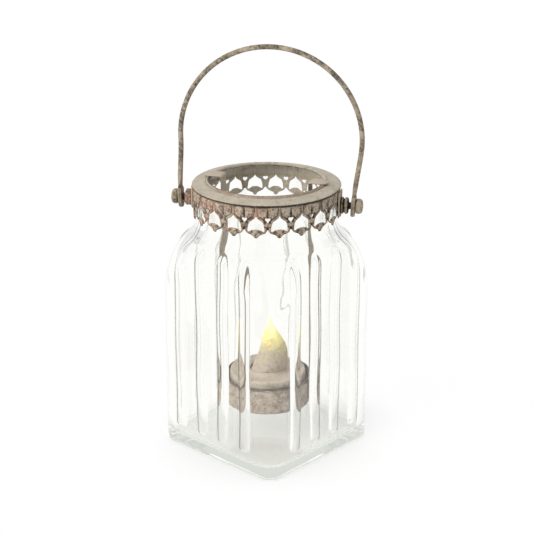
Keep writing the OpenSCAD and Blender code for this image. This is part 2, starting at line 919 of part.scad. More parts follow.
// Small screw that holds the battery door
module door_screw() {
    slot_w = 0.4;
    slot_l = 1.2 * screw_head_r;
    slot_h = 0.35;
    sink = joint_gap;
    color([0.6, 0.6, 0.6])
        translate([-screw_x, 0, tea_z + sink])
            difference() {
                union() {
                    cylinder(r = screw_head_r, h = screw_head_t - 2 * sink);
                    translate([0, 0, sink])
                        cylinder(r = screw_r, h = door_t + screw_len * 0.9);
                }
                for (a = [0, 90])
                    rotate([0, 0, a])
                        translate([-slot_l / 2, -slot_w / 2, -CUT])
                            cube([slot_l, slot_w, CUT + slot_h]);
            }
}

// Cover over the slider inside the base
module switch_housing() {
    color([0.35, 0.35, 0.35])
        translate([switch_x, 0, tea_z + tea_t + joint_gap])
            difference() {
                translate([-case_w / 2, -case_l / 2, 0])
                    cube([case_w, case_l, case_h]);
                translate([case_wall - case_w / 2, case_wall - case_l / 2, -CUT])
                    cube([case_w - 2 * case_wall, case_l - 2 * case_wall, CUT + case_h - case_wall]);
            }
}

// Slider of the switch, shown in its on position: a knob in the slot under a wider plate
module switch_slider() {
    knob_sink = 0.4;
    plate_low = tea_t + seat_gap;
    plate_h = case_h - case_wall - 2 * seat_gap;
    color([0.2, 0.2, 0.2])
        translate([switch_x, switch_travel / 2, tea_z])
            union() {
                translate([-switch_w / 2, -switch_l / 2, knob_sink])
                    cube([switch_w, switch_l, plate_low + plate_h / 2 - knob_sink]);
                translate([-slide_w / 2, -slide_l / 2, plate_low])
                    cube([slide_w, slide_l, plate_h]);
            }
}

glass_jar();
collar_plate();
lace_band_front();
lace_band_rear();
lug_plate_left();
lug_plate_right();
lug_boss_left();
lug_boss_right();
pivot_pin_left();
pivot_pin_right();
bail_handle();
candle_cup();
hanger_strap_left();
hanger_strap_right();
strap_rivet_left();
strap_rivet_right();
tealight_shell();
flame_bulb();
led_lamp();
circuit_board();
coin_cell();
cell_contact_upper();
cell_contact_lower();
battery_door();
door_screw();
switch_housing();
switch_slider();
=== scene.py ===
"""Dresses a packed lantern: a square ribbed glass jar with a pierced metal collar, a swinging bail,
a candle cup hung inside on two straps, and a battery tealight in the cup.

Sizes are in millimetres in the classes and in metres in Blender. X is the bail's hinge axis, +Z is
up, and the origin is on the table under the jar's axis.
"""

from __future__ import annotations

import json
import logging
import math
from collections.abc import Iterable
from dataclasses import dataclass
from enum import Enum

import bpy
import numpy as np
from mathutils import Matrix, Vector

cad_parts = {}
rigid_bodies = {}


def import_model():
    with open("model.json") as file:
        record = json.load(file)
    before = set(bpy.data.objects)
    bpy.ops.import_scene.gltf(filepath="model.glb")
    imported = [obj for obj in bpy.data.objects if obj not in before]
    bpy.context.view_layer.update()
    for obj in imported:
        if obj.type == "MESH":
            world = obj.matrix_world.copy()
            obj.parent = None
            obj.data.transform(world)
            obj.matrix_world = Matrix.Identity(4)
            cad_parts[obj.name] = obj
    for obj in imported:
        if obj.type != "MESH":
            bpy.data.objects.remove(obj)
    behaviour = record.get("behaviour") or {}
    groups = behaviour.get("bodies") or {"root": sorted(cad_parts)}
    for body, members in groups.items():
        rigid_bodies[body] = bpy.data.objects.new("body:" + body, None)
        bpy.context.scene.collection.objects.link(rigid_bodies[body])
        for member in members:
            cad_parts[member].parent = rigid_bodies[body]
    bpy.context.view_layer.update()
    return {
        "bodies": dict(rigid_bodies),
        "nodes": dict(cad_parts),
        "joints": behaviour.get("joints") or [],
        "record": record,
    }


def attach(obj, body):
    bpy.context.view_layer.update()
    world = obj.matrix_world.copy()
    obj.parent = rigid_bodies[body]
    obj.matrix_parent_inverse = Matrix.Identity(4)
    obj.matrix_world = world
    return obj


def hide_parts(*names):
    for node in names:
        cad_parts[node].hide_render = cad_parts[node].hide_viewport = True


LOG = logging.getLogger("lantern")
MM = 0.001

Point = tuple[float, float]
Range = tuple[float, float]
Place = tuple[float, float, float]
Colour = tuple[float, float, float, float]
Socket = bpy.types.NodeSocket
Piece = bpy.types.Object


class Body(Enum):
    """Moving bodies that the new pieces ride on."""

    LANTERN = "lantern"
    BAIL = "bail"
    HOLDER = "candle_holder"
    TEALIGHT = "tealight"


class Slot(Enum):
    """Material slots of the part's record."""

    GLASS = "clear_glass"
    COLLAR = "collar_paint"
    LACE = "lace_paint"
    BAIL = "bail_paint"
    CUP = "cup_paint"
    WAX = "wax_plastic"
    FLAME = "flame_plastic"


class Side(Enum):
    """Left and right of the hinge axis, as the sign of X."""

    LEFT = -1
    RIGHT = 1

    @property
    def label(self) -> str:
        """The side's name in small letters."""
        return self.name.lower()


def paint(red: float, green: float, blue: float) -> Colour:
    """Turns a screen colour into the linear colour that shaders take.

    Args:
        red, green, blue: The colour's parts, from 0 to 255.

    Returns:
        The linear colour with full alpha.
    """
    parts = [c / 255 for c in (red, green, blue)]
    line = [c / 12.92 if c <= 0.04045 else ((c + 0.055) / 1.055) ** 2.4 for c in parts]
    return (line[0], line[1], line[2], 1.0)


# --- the modelling bench ---------------------------------------------------------------------


def clear_bench() -> None:
    """Leaves edit mode and deselects everything."""
    if bpy.context.mode != "OBJECT":
        bpy.ops.object.mode_set(mode="OBJECT")
    bpy.ops.object.select_all(action="DESELECT")


def pick(piece: Piece) -> None:
    """Makes a piece the only selected and active one."""
    clear_bench()
    piece.select_set(True)
    bpy.context.view_layer.objects.active = piece


def set_place(piece: Piece) -> None:
    """Moves a piece's place, turn and scale into its mesh."""
    pick(piece)
    bpy.ops.object.transform_apply(location=True, rotation=True, scale=True)


def edit_all() -> None:
    """Enters edit mode on the active piece, with all of its mesh selected."""
    bpy.ops.object.mode_set(mode="EDIT")
    bpy.ops.mesh.select_all(action="SELECT")


def close_mesh(piece: Piece, reach: float = 0.004) -> None:
    """Merges a mesh's doubled points and turns its faces outwards.

    Args:
        piece: The piece to close.
        reach: Points nearer than this are merged, in millimetres.
    """
    pick(piece)
    edit_all()
    bpy.ops.mesh.remove_doubles(threshold=reach * MM)
    bpy.ops.mesh.normals_make_consistent(inside=False)
    bpy.ops.object.mode_set(mode="OBJECT")


def smooth(piece: Piece, degrees: float = 40.0) -> None:
    """Shades a piece smooth, except over edges sharper than the angle."""
    pick(piece)
    bpy.ops.object.shade_smooth_by_angle(angle=math.radians(degrees))


def apply_modifier(piece: Piece, kind: str, **settings: object) -> None:
    """Adds a modifier to a piece and applies it.

    Args:
        piece: The piece to change.
        kind: Blender's name for the modifier.
        settings: The modifier's properties.
    """
    pick(piece)
    modifier = piece.modifiers.new(kind.lower(), kind)
    for name, value in settings.items():
        setattr(modifier, name, value)
    bpy.ops.object.modifier_apply(modifier=modifier.name)


def arc(middle: Point, wide: float, high: float, degrees: Iterable[float]) -> list[Point]:
    """Points along an arc of a circle or ellipse, for a profile.

    Args:
        middle: Radius and height of its middle.
        wide: Its half width.
        high: Its half height.
        degrees: Where each point lies, 0 for straight outwards and 90 for straight up.

    Returns:
        Radius and height of each point.
    """
    turns = [math.radians(turn) for turn in degrees]
    return [(middle[0] + wide * math.cos(a), middle[1] + high * math.sin(a)) for a in turns]


def turned(name: str, profile: list[Point], sides: int = 96, closed: bool = False) -> Piece:
    """Turns a profile round Z: a ring is extruded and sized from point to point.

    Args:
        name: The piece's name.
        profile: Radius and height of each ring, in millimetres. A radius of 0 makes a pole.
        sides: Points around.
        closed: Whether the last ring joins the first.

    Returns:
        The new piece, with its faces outwards.
    """
    clear_bench()
    pole = 0.002
    rings = [(max(radius, pole) * MM, height * MM) for radius, height in profile]
    if closed:
        rings.append(rings[0])
    radius, height = rings[0]
    bpy.ops.mesh.primitive_circle_add(vertices=sides, radius=radius, location=(0, 0, height))
    piece = bpy.context.object
    edit_all()
    for next_radius, next_height in rings[1:]:
        bpy.ops.mesh.extrude_region_move(
            TRANSFORM_OT_translate={"value": (0, 0, next_height - height)}
        )
        size = next_radius / radius
        bpy.ops.transform.resize(value=(size, size, 1), center_override=(0, 0, next_height))
        radius, height = next_radius, next_height
    bpy.ops.object.mode_set(mode="OBJECT")
    piece.name = piece.data.name = name
    set_place(piece)
    close_mesh(piece)
    return piece


def laid_on_axis(piece: Piece, side: Side, height: float, turn: float = 0.0) -> None:
    """Lays a piece turned round Z along the X axis, on one side of the lantern.

    Args:
        piece: The piece, with its outer end up.
        side: The side that its outer end points to.
        height: Height of its axis, in millimetres.
        turn: Turn round Z afterwards, in degrees.
    """
    lay = Matrix.Rotation(side.value * math.pi / 2, 4, "Y")
    lift = Matrix.Translation((0, 0, height * MM))
    piece.data.transform(Matrix.Rotation(math.radians(turn), 4, "Z") @ lift @ lay)


def woven_grid(name: str, places: np.ndarray, wrap: bool = False) -> Piece:
    """Adds a grid and sends each of its points to a place, row by row.

    Args:
        name: The piece's name.
        places: Places in millimetres, as rows, columns and the three axes.
        wrap: Whether each row's last column joins its first.

    Returns:
        The new piece.
    """
    if wrap:
        places = np.concatenate([places, places[:, :1]], axis=1)
    rows, columns = places.shape[:2]
    clear_bench()
    bpy.ops.mesh.primitive_grid_add(
        x_subdivisions=columns - 1, y_subdivisions=rows - 1, size=1, location=(0, 0, 0)
    )
    piece = bpy.context.object
    piece.name = piece.data.name = name
    send_points(piece, places)
    return piece


def column(
    rows: bpy.types.bpy_prop_collection, name: str, width: int = 1, kind: type = np.float32
) -> np.ndarray:
    """Reads one property of all the points, edges or faces of a mesh.

    Args:
        rows: The mesh's points, edges, faces, loops or attribute values.
        name: The property.
        width: How many numbers it has for each row.
        kind: The type of the numbers.

    Returns:
        A number for each row, or a row of numbers where the property has several.
    """
    values = np.empty(len(rows) * width, dtype=kind)
    rows.foreach_get(name, values)
    return values.reshape(-1, width) if width > 1 else values


def points_of(piece: Piece) -> np.ndarray:
    """A mesh's points in millimetres, as rows of x, y and z."""
    return column(piece.data.vertices, "co", 3).astype(float) / MM


def send_points(piece: Piece, places: np.ndarray) -> None:
    """Moves a mesh's points to places in millimetres."""
    piece.data.vertices.foreach_set("co", (places * MM).astype(np.float32).ravel())
    piece.data.update()


def joined(name: str, pieces: list[Piece]) -> Piece:
    """Joins pieces into one and names it.

    Args:
        name: The new name.
        pieces: The pieces to join; the first one stays.

    Returns:
        The joined piece.
    """
    clear_bench()
    for piece in pieces:
        piece.select_set(True)
    bpy.context.view_layer.objects.active = pieces[0]
    bpy.ops.object.join()
    pieces[0].name = pieces[0].data.name = name
    return pieces[0]


def store(piece: Piece, name: str, values: np.ndarray) -> None:
    """Stores a number for each point of a mesh.

    Args:
        piece: The piece.
        name: The attribute's name.
        values: One number a point.
    """
    layer = piece.data.attributes.get(name) or piece.data.attributes.new(name, "FLOAT", "POINT")
    layer.data.foreach_set("value", values.astype(np.float32))


def mark_edges(piece: Piece, full: float = 0.9, passes: int = 2) -> None:
    """Stores how much each point stands out of the form round it, or lies in a hollow.

    The attributes "edge" and "hollow" run from 0 to 1.

    Args:
        piece: The piece to mark, with its faces outwards.
        full: The bend that counts as a full edge, in radians a millimetre.
        passes: How many times the marks are spread to the points beside them.
    """
    mesh = piece.data
    tiny = 1e-6
    edge_of = column(mesh.loops, "edge_index", kind=np.int64)
    totals = column(mesh.polygons, "loop_total", kind=np.int64)
    face_of = np.repeat(np.arange(len(totals)), totals)
    normals = column(mesh.polygons, "normal", 3)
    centres = column(mesh.polygons, "center", 3) / MM
    order = np.argsort(edge_of, kind="stable")
    edges, faces = edge_of[order], face_of[order]
    pairs = np.nonzero(edges[1:] == edges[:-1])[0]
    first, second, shared = faces[pairs], faces[pairs + 1], edges[pairs]
    apart = centres[second] - centres[first]
    gap = np.linalg.norm(apart, axis=1) + tiny
    angle = np.arccos(np.clip((normals[first] * normals[second]).sum(1), -1, 1))
    bend = angle / gap * np.sign((apart * (normals[second] - normals[first])).sum(1))
    ends = column(mesh.edges, "vertices", 2, np.int64)
    value = np.zeros(len(mesh.vertices))
    count = np.full(len(mesh.vertices), tiny)
    for end in (0, 1):
        np.add.at(value, ends[shared, end], bend)
        np.add.at(count, ends[shared, end], 1.0)
    value /= count
    for _ in range(passes):
        total, near = value.copy(), np.ones(len(value))
        for here, there in ((0, 1), (1, 0)):
            np.add.at(total, ends[:, here], value[ends[:, there]])
            np.add.at(near, ends[:, here], 1.0)
        value = total / near
    store(piece, "edge", np.clip(value / full, 0, 1))
    # the paint darks "hollow" points with grime and painted shade
    store(piece, "hollow", np.clip(-value / full, 0, 1))


def hand_over(
    piece: Piece, body: Body, slot: Slot, finish: bpy.types.Material, *nodes: str
) -> None:
    """Gives a finished piece its finish and its body, and hides the part's nodes that it stands
    for.

    Args:
        piece: The piece.
        body: The body that it rides on.
        slot: The record's material slot; not used.
        finish: The material.
        nodes: The part's nodes that it stands for.
    """
    piece.data.materials.clear()
    piece.data.materials.append(finish)
    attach(piece, body.value)
    if nodes:
        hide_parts(*nodes)
    LOG.info("%s: %d faces on %s", piece.name, len(piece.data.polygons), body.value)


# --- finishes --------------------------------------------------------------------------------


class Recipe:
    """The node tree of a material or of the world while it is written."""

    def __init__(self, name: str, world: bool = False) -> None:
        """Starts an empty material or world.

        Args:
            name: Its name.
            world: Whether it is a world.
        """
        self.owner = (bpy.data.worlds if world else bpy.data.materials).new(name)
        self.owner.use_nodes = True
        self.tree = self.owner.node_tree
        self.tree.nodes.clear()
        self.end = self.tree.nodes.new("ShaderNodeOutput" + ("World" if world else "Material"))

    def node(self, kind: str, inputs: dict | None = None, **settings: object) -> bpy.types.Node:
        """Adds a node.

        Args:
            kind: The node's type, without "ShaderNode".
            inputs: Values or sockets for its inputs, by name or number.
            settings: The node's properties.

        Returns:
            The node.
        """
        node = self.tree.nodes.new("ShaderNode" + kind)
        for name, value in settings.items():
            setattr(node, name, value)
        for name, value in (inputs or {}).items():
            if isinstance(value, Socket):
                self.tree.links.new(value, node.inputs[name])
            else:
                node.inputs[name].default_value = value
        return node

    def place(self) -> Socket:
        """The place on the object, in metres."""
        return self.node("TexCoord").outputs["Object"]

    def height(self) -> Socket:
        """Height above the table, in metres."""
        return self.node("SeparateXYZ", {0: self.place()}).outputs["Z"]

    def stored(self, name: str) -> Socket:
        """A number stored on the mesh's points."""
        return self.node("Attribute", attribute_name=name).outputs["Fac"]

    def noise(self, grain: float, detail: float = 3.0, rough: float = 0.55) -> Socket:
        """Noise from 0 to 1 with grains of this size in millimetres."""
        inputs = {"Vector": self.place(), "Scale": 1 / (grain * MM), "Detail": detail}
        return self.node("TexNoise", inputs | {"Roughness": rough}).outputs["Fac"]

    def spread(self, value: Socket, low: float, high: float, to: Range = (0.0, 1.0)) -> Socket:
        """Spreads a part of a value's range over another range, smoothly.

        Args:
            value: The value.
            low, high: The part; what lies outside it gets the nearer end of the other range.
            to: The other range.

        Returns:
            The spread value.
        """
        inputs = {"Value": value, "From Min": low, "From Max": high}
        inputs |= {"To Min": to[0], "To Max": to[1]}
        return self.node("MapRange", inputs, interpolation_type="SMOOTHSTEP").outputs[0]

    def sum(self, *terms: Socket | float) -> Socket:
        """Adds values."""
        return self._fold("ADD", terms)

    def product(self, *terms: Socket | float) -> Socket:
        """Multiplies values."""
        return self._fold("MULTIPLY", terms)

    def _fold(self, operation: str, terms: tuple) -> Socket:
        """Joins values one after another by a math operation.

        Args:
            operation: The operation, as the Math node calls it.
            terms: The values.

        Returns:
            What they come to.
        """
        total = terms[0]
        for term in terms[1:]:
            total = self.node("Math", {0: total, 1: term}, operation=operation).outputs[0]
        return total

    def clamped(self, value: Socket) -> Socket:
        """Keeps a value between 0 and 1."""
        return self.node("Clamp", {0: value}).outputs[0]

    def mixed(
        self, share: Socket | float, first: Socket | Colour, second: Socket | Colour
    ) -> Socket:
        """Mixes two colours.

        Args:
            share: How much of the second one shows.
            first, second: The colours.

        Returns:
            The mixed colour.
        """
        first_socket, second_socket, colour_out = 6, 7, 2
        inputs = {"Factor": share, first_socket: first, second_socket: second}
        return self.node("Mix", inputs, data_type="RGBA").outputs[colour_out]

    def ramp(self, value: Socket, stops: list[tuple[float, Colour]]) -> Socket:
        """A colour for each value, from a row of stops.

        Args:
            value: The value, from 0 to 1.
            stops: The colours and where in the row they stand.

        Returns:
            The colour.
        """
        node = self.node("ValToRGB", {"Fac": value})
        row = node.color_ramp.elements
        while len(row) < len(stops):
            row.new(0.5)
        for element, (position, colour) in zip(row, sorted(stops)):
            element.position, element.color = position, colour
        return node.outputs["Color"]

    def relief(self, height: Socket, depth: float) -> Socket:
        """A normal for bumps of this depth in millimetres."""
        inputs = {"Height": height, "Distance": depth * MM, "Strength": 1.0}
        return self.node("Bump", inputs).outputs["Normal"]

    def done(self, kind: str, inputs: dict) -> bpy.types.ID:
        """Ends the tree with a shader.

        Args:
            kind: The shader's type, without "ShaderNode".
            inputs: Values or sockets for its inputs.

        Returns:
            The material or world.
        """
        shader = self.node(kind, inputs)
        self.tree.links.new(shader.outputs[0], self.end.inputs["Surface"])
        return self.owner


@dataclass(frozen=True)
class AgedPaint:
    """Paint brushed over metal, mottled and specked, rubbed off on edges, and dark in hollows with
    grime and painted shade.
    """

    name: str
    coat: Colour
    faded: Colour
    stain: Colour
    bare: Colour
    mottle: float = 9.0
    speck_share: float = 0.5
    stain_share: float = 0.5
    rub: float = 0.6
    gloss: float = 0.48
    metal: float = 0.15
    drift: float = 0.0
    grime: float = 0.0
    speck_size: float = 0.8
    shine: float = 0.28
    dashes: float = 0.0
    deep_share: float = 0.32
    bump_depth: float = 0.16

    def struck(self, r: Recipe) -> Socket:
        """Dark dashes, as if struck across the wire, in patches.

        Args:
            r: The material that is written.

        Returns:
            How dark each place is, from 0 to 1.
        """
        inputs = {"Vector": r.place(), "Scale": 0.16 / MM, "Distortion": 5.0, "Detail Scale": 3.0}
        wave = r.node("TexWave", inputs, bands_direction="DIAGONAL").outputs["Fac"]
        patch = r.spread(r.noise(13.0, 2.0, 0.5), 0.4, 0.56, (0.1, 1.0))
        fleck = r.spread(r.noise(1.3, 3.0, 0.7), 0.42, 0.52)
        stroke = r.spread(wave, 0.3, 0.6)
        dash = r.product(patch, stroke, r.spread(fleck, 0.0, 1.0, (0.3, 1.0)))
        return r.clamped(r.sum(dash, r.product(patch, fleck, 0.6)))

    def mixed(self) -> bpy.types.Material:
        """Writes the material.

        Returns:
            The material.
        """
        r = Recipe(self.name)
        cloud, grain = r.noise(self.mottle, 4.0, 0.6), r.noise(1.5, 5.0, 0.7)
        speck = r.noise(self.speck_size, 2.0, 0.5)
        if self.drift:
            across = r.node("SeparateXYZ", {0: r.place()}).outputs["X"]
            end = 30 * MM
            cloud = r.sum(cloud, r.spread(across, -end, end, (self.drift, -self.drift)))
        colour = r.mixed(r.spread(cloud, 0.36, 0.64), self.coat, self.faded)
        start = 0.5 - self.grime
        blotch = r.product(r.spread(r.noise(3.2, 6.0, 0.72), start, start + 0.18), self.stain_share)
        colour = r.mixed(blotch, colour, self.stain)
        dots = r.spread(speck, start + 0.08, start + 0.2)
        colour = r.mixed(r.product(dots, self.speck_share), colour, self.stain)
        if self.dashes:
            colour = r.mixed(r.product(self.struck(r), self.dashes), colour, self.stain)
        # hollows darken with grime and painted shade
        grime_and_shade = r.product(r.stored("hollow"), r.spread(grain, 0.3, 0.55, (0.65, 1.0)))
        deep = tuple(c * self.deep_share for c in self.stain[:3]) + (1.0,)
        colour = r.mixed(grime_and_shade, colour, deep)
        rubbed = r.sum(r.stored("edge"), r.product(grain, 0.9))
        worn = r.spread(rubbed, 1.3 - self.rub, 1.5 - self.rub)
        colour = r.mixed(worn, colour, self.bare)
        rough = r.spread(grain, 0.3, 0.7, (self.gloss, self.gloss + 0.2))
        height = r.sum(r.product(grain, 0.6), r.product(cloud, 0.4), r.product(speck, 0.25))
        return r.done(
            "BsdfPrincipled",
            {
                "Base Color": colour,
                "Roughness": r.sum(rough, r.product(grime_and_shade, 0.3)),
                "Metallic": self.metal,
                "Specular IOR Level": self.shine,
                "Normal": r.relief(height, self.bump_depth),
            },
        )


@dataclass(frozen=True)
class ClearGlass:
    """Clear pressed glass, faintly green where it is thick, with painted dark lines on ribs' flanks
    and where it is seen edge on, which stand in for the dark surroundings that refraction shows
    there.
    """

    name: str = "clear_glass"
    index: float = 1.47
    thin: Colour = paint(255, 255, 253)
    thick: Colour = paint(249, 249, 246)
    foot: Colour = paint(222, 228, 218)
    # rim: dark colour of the painted refraction lines
    rim: Colour = paint(32, 36, 34)
    deep: Colour = paint(236, 240, 232)
    lamp_light: Colour = (0.97, 0.98, 0.97, 1.0)
    heel_z: float = 8.0
    shoulder_z: float = 104.0
    shoulder_h: float = 8.0
    flank_facing: Range = (0.38, 0.63)
    brink_facing: Range = (0.8, 0.97)
    brink_share: float = 0.7
    edge_z: Range = (5.0, 12.0)
    mirror_turns: Range = (3.2, 3.8)
    ray_turns: Range = (11.2, 11.8)
    glow_z: Range = (4.0, 14.0)
    heel_glow: Range = (0.41, 0.36)
    shoulder_glow: float = 0.06

    def painted_refraction_lines(self, r: Recipe, height: Socket) -> Socket:
        """How much of the rim's dark colour shows: painted dark refraction lines on ribs' flanks
        and where the wall is edge on.

        Args:
            r: The material that is written.
            height: Height above the table.

        Returns:
            The share, from 0 to 1, and 0 inside the jar.
        """
        facing = r.node("LayerWeight", {"Blend": 0.5}).outputs["Facing"]
        inner = r.node("NewGeometry").outputs["Backfacing"]
        flank = r.product(r.stored("flank"), r.spread(facing, *self.flank_facing))
        brink = r.product(r.spread(facing, *self.brink_facing), self.brink_share)
        low, high = self.edge_z
        return r.product(
            r.clamped(r.sum(flank, brink)),
            r.spread(inner, 0.0, 1.0, (1.0, 0.0)),
            r.spread(height, low * MM, high * MM),
        )

    def last_glow(self, r: Recipe, height: Socket, path: bpy.types.NodeOutputs) -> Socket:
        """Glow of the last turn of light that is thrown to and fro in the thick glass.

        Args:
            r: The material that is written.
            height: Height above the table.
            path: What the Light Path node gives.

        Returns:
            The strength of the glow, and 0 on the turns before it.
        """
        often = r.spread(path["Glossy Depth"], *self.mirror_turns)
        long = r.spread(path["Ray Depth"], *self.ray_turns)
        foot, top = self.glow_z
        heel = r.spread(height, foot * MM, top * MM, self.heel_glow)
        low_z, high_z = (self.shoulder_z - self.shoulder_h) * MM, self.shoulder_z * MM
        shoulder = r.spread(height, low_z, high_z, (0.0, self.shoulder_glow))
        return r.product(r.clamped(r.sum(often, long)), r.sum(heel, shoulder))

    def mixed(self) -> bpy.types.Material:
        """Writes the material; lamps shine through it.

        Light that is thrown to and fro in thick glass is lost after a few turns, so its last turn
        glows a little instead.

        Returns:
            The material.
        """
        r = Recipe(self.name)
        height = r.height()
        low = r.spread(height, 0.0, self.heel_z * MM, (1.0, 0.0))
        body = r.mixed(r.stored("foot"), r.mixed(low, self.thin, self.thick), self.foot)
        path = r.node("LightPath").outputs
        glass = r.node(
            "BsdfPrincipled",
            {
                "Base Color": r.mixed(self.painted_refraction_lines(r, height), body, self.rim),
                "Roughness": 0.0,
                "IOR": self.index,
                "Transmission Weight": 1.0,
                "Emission Color": self.deep,
                "Emission Strength": self.last_glow(r, height, path),
            },
        )
        light = r.node("BsdfTransparent", {"Color": self.lamp_light})
        shaders = {0: path["Is Shadow Ray"], 1: glass.outputs[0], 2: light.outputs[0]}
        return r.done("MixShader", shaders)


@dataclass(frozen=True)
class Plain:
    """Moulded plastic or plated metal with fine grain and slight unevenness of colour."""

    name: str
    light: Colour
    dark: Colour
    rough: float = 0.4
    metal: float = 0.0
    grain: float = 0.6
    depth: float = 0.03

    def mixed(self) -> bpy.types.Material:
        """Writes the material.

        Returns:
            The material.
        """
        r = Recipe(self.name)
        cloud, grain = r.noise(self.grain * 8, 3.0), r.noise(self.grain, 3.0)
        colour = r.mixed(r.spread(cloud, 0.35, 0.65), self.light, self.dark)
        rough = r.spread(grain, 0.3, 0.7, (self.rough - 0.06, self.rough + 0.1))
        return r.done(
            "BsdfPrincipled",
            {
                "Base Color": colour,
                "Roughness": rough,
                "Metallic": self.metal,
                "Normal": r.relief(grain, self.depth),
            },
        )


@dataclass(frozen=True)
class FlameGlow:
    """Translucent flame that glows from a warm foot to a pale tip."""

    name: str = "flame_plastic"
    soot: Colour = paint(130, 116, 98)
    ember: Colour = paint(232, 170, 84)
    foot_z: float = 41.0
    tip_z: float = 70.3

    def mixed(self) -> bpy.types.Material:
        """Writes the material.

        Returns:
            The material.
        """
        r = Recipe(self.name)
        span = (self.foot_z * MM, self.tip_z * MM)
        rise = r.sum(r.spread(r.height(), *span), r.product(r.noise(3.4, 5.0, 0.7), 0.8), -0.4)
        colour = r.ramp(
            rise,
            [
                (0.0, paint(198, 184, 168)),
                (0.28, paint(203, 190, 162)),
                (0.52, paint(224, 213, 152)),
                (0.78, paint(242, 233, 156)),
                (1.0, paint(253, 249, 198)),
            ],
        )
        specks = r.spread(r.noise(2.2, 6.0, 0.8), 0.5, 0.64)
        soot = r.product(specks, r.spread(rise, 0.2, 0.6, (0.5, 0.0)))
        colour = r.mixed(soot, colour, self.soot)
        sparks = r.spread(r.noise(2.4, 5.0, 0.7), 0.55, 0.63)
        ember = r.product(sparks, r.spread(rise, 0.3, 0.5), 0.8)
        colour = r.mixed(ember, colour, self.ember)
        return r.done(
            "BsdfPrincipled",
            {
                "Base Color": colour,
                "Roughness": 0.45,
                "Specular IOR Level": 0.3,
                "Emission Color": colour,
                "Emission Strength": r.spread(rise, 0.25, 0.95, (0.0, 0.45)),
                "Normal": r.relief(r.noise(2.2, 4.0), 0.4),
            },
        )


# --- the glass jar ---------------------------------------------------------------------------


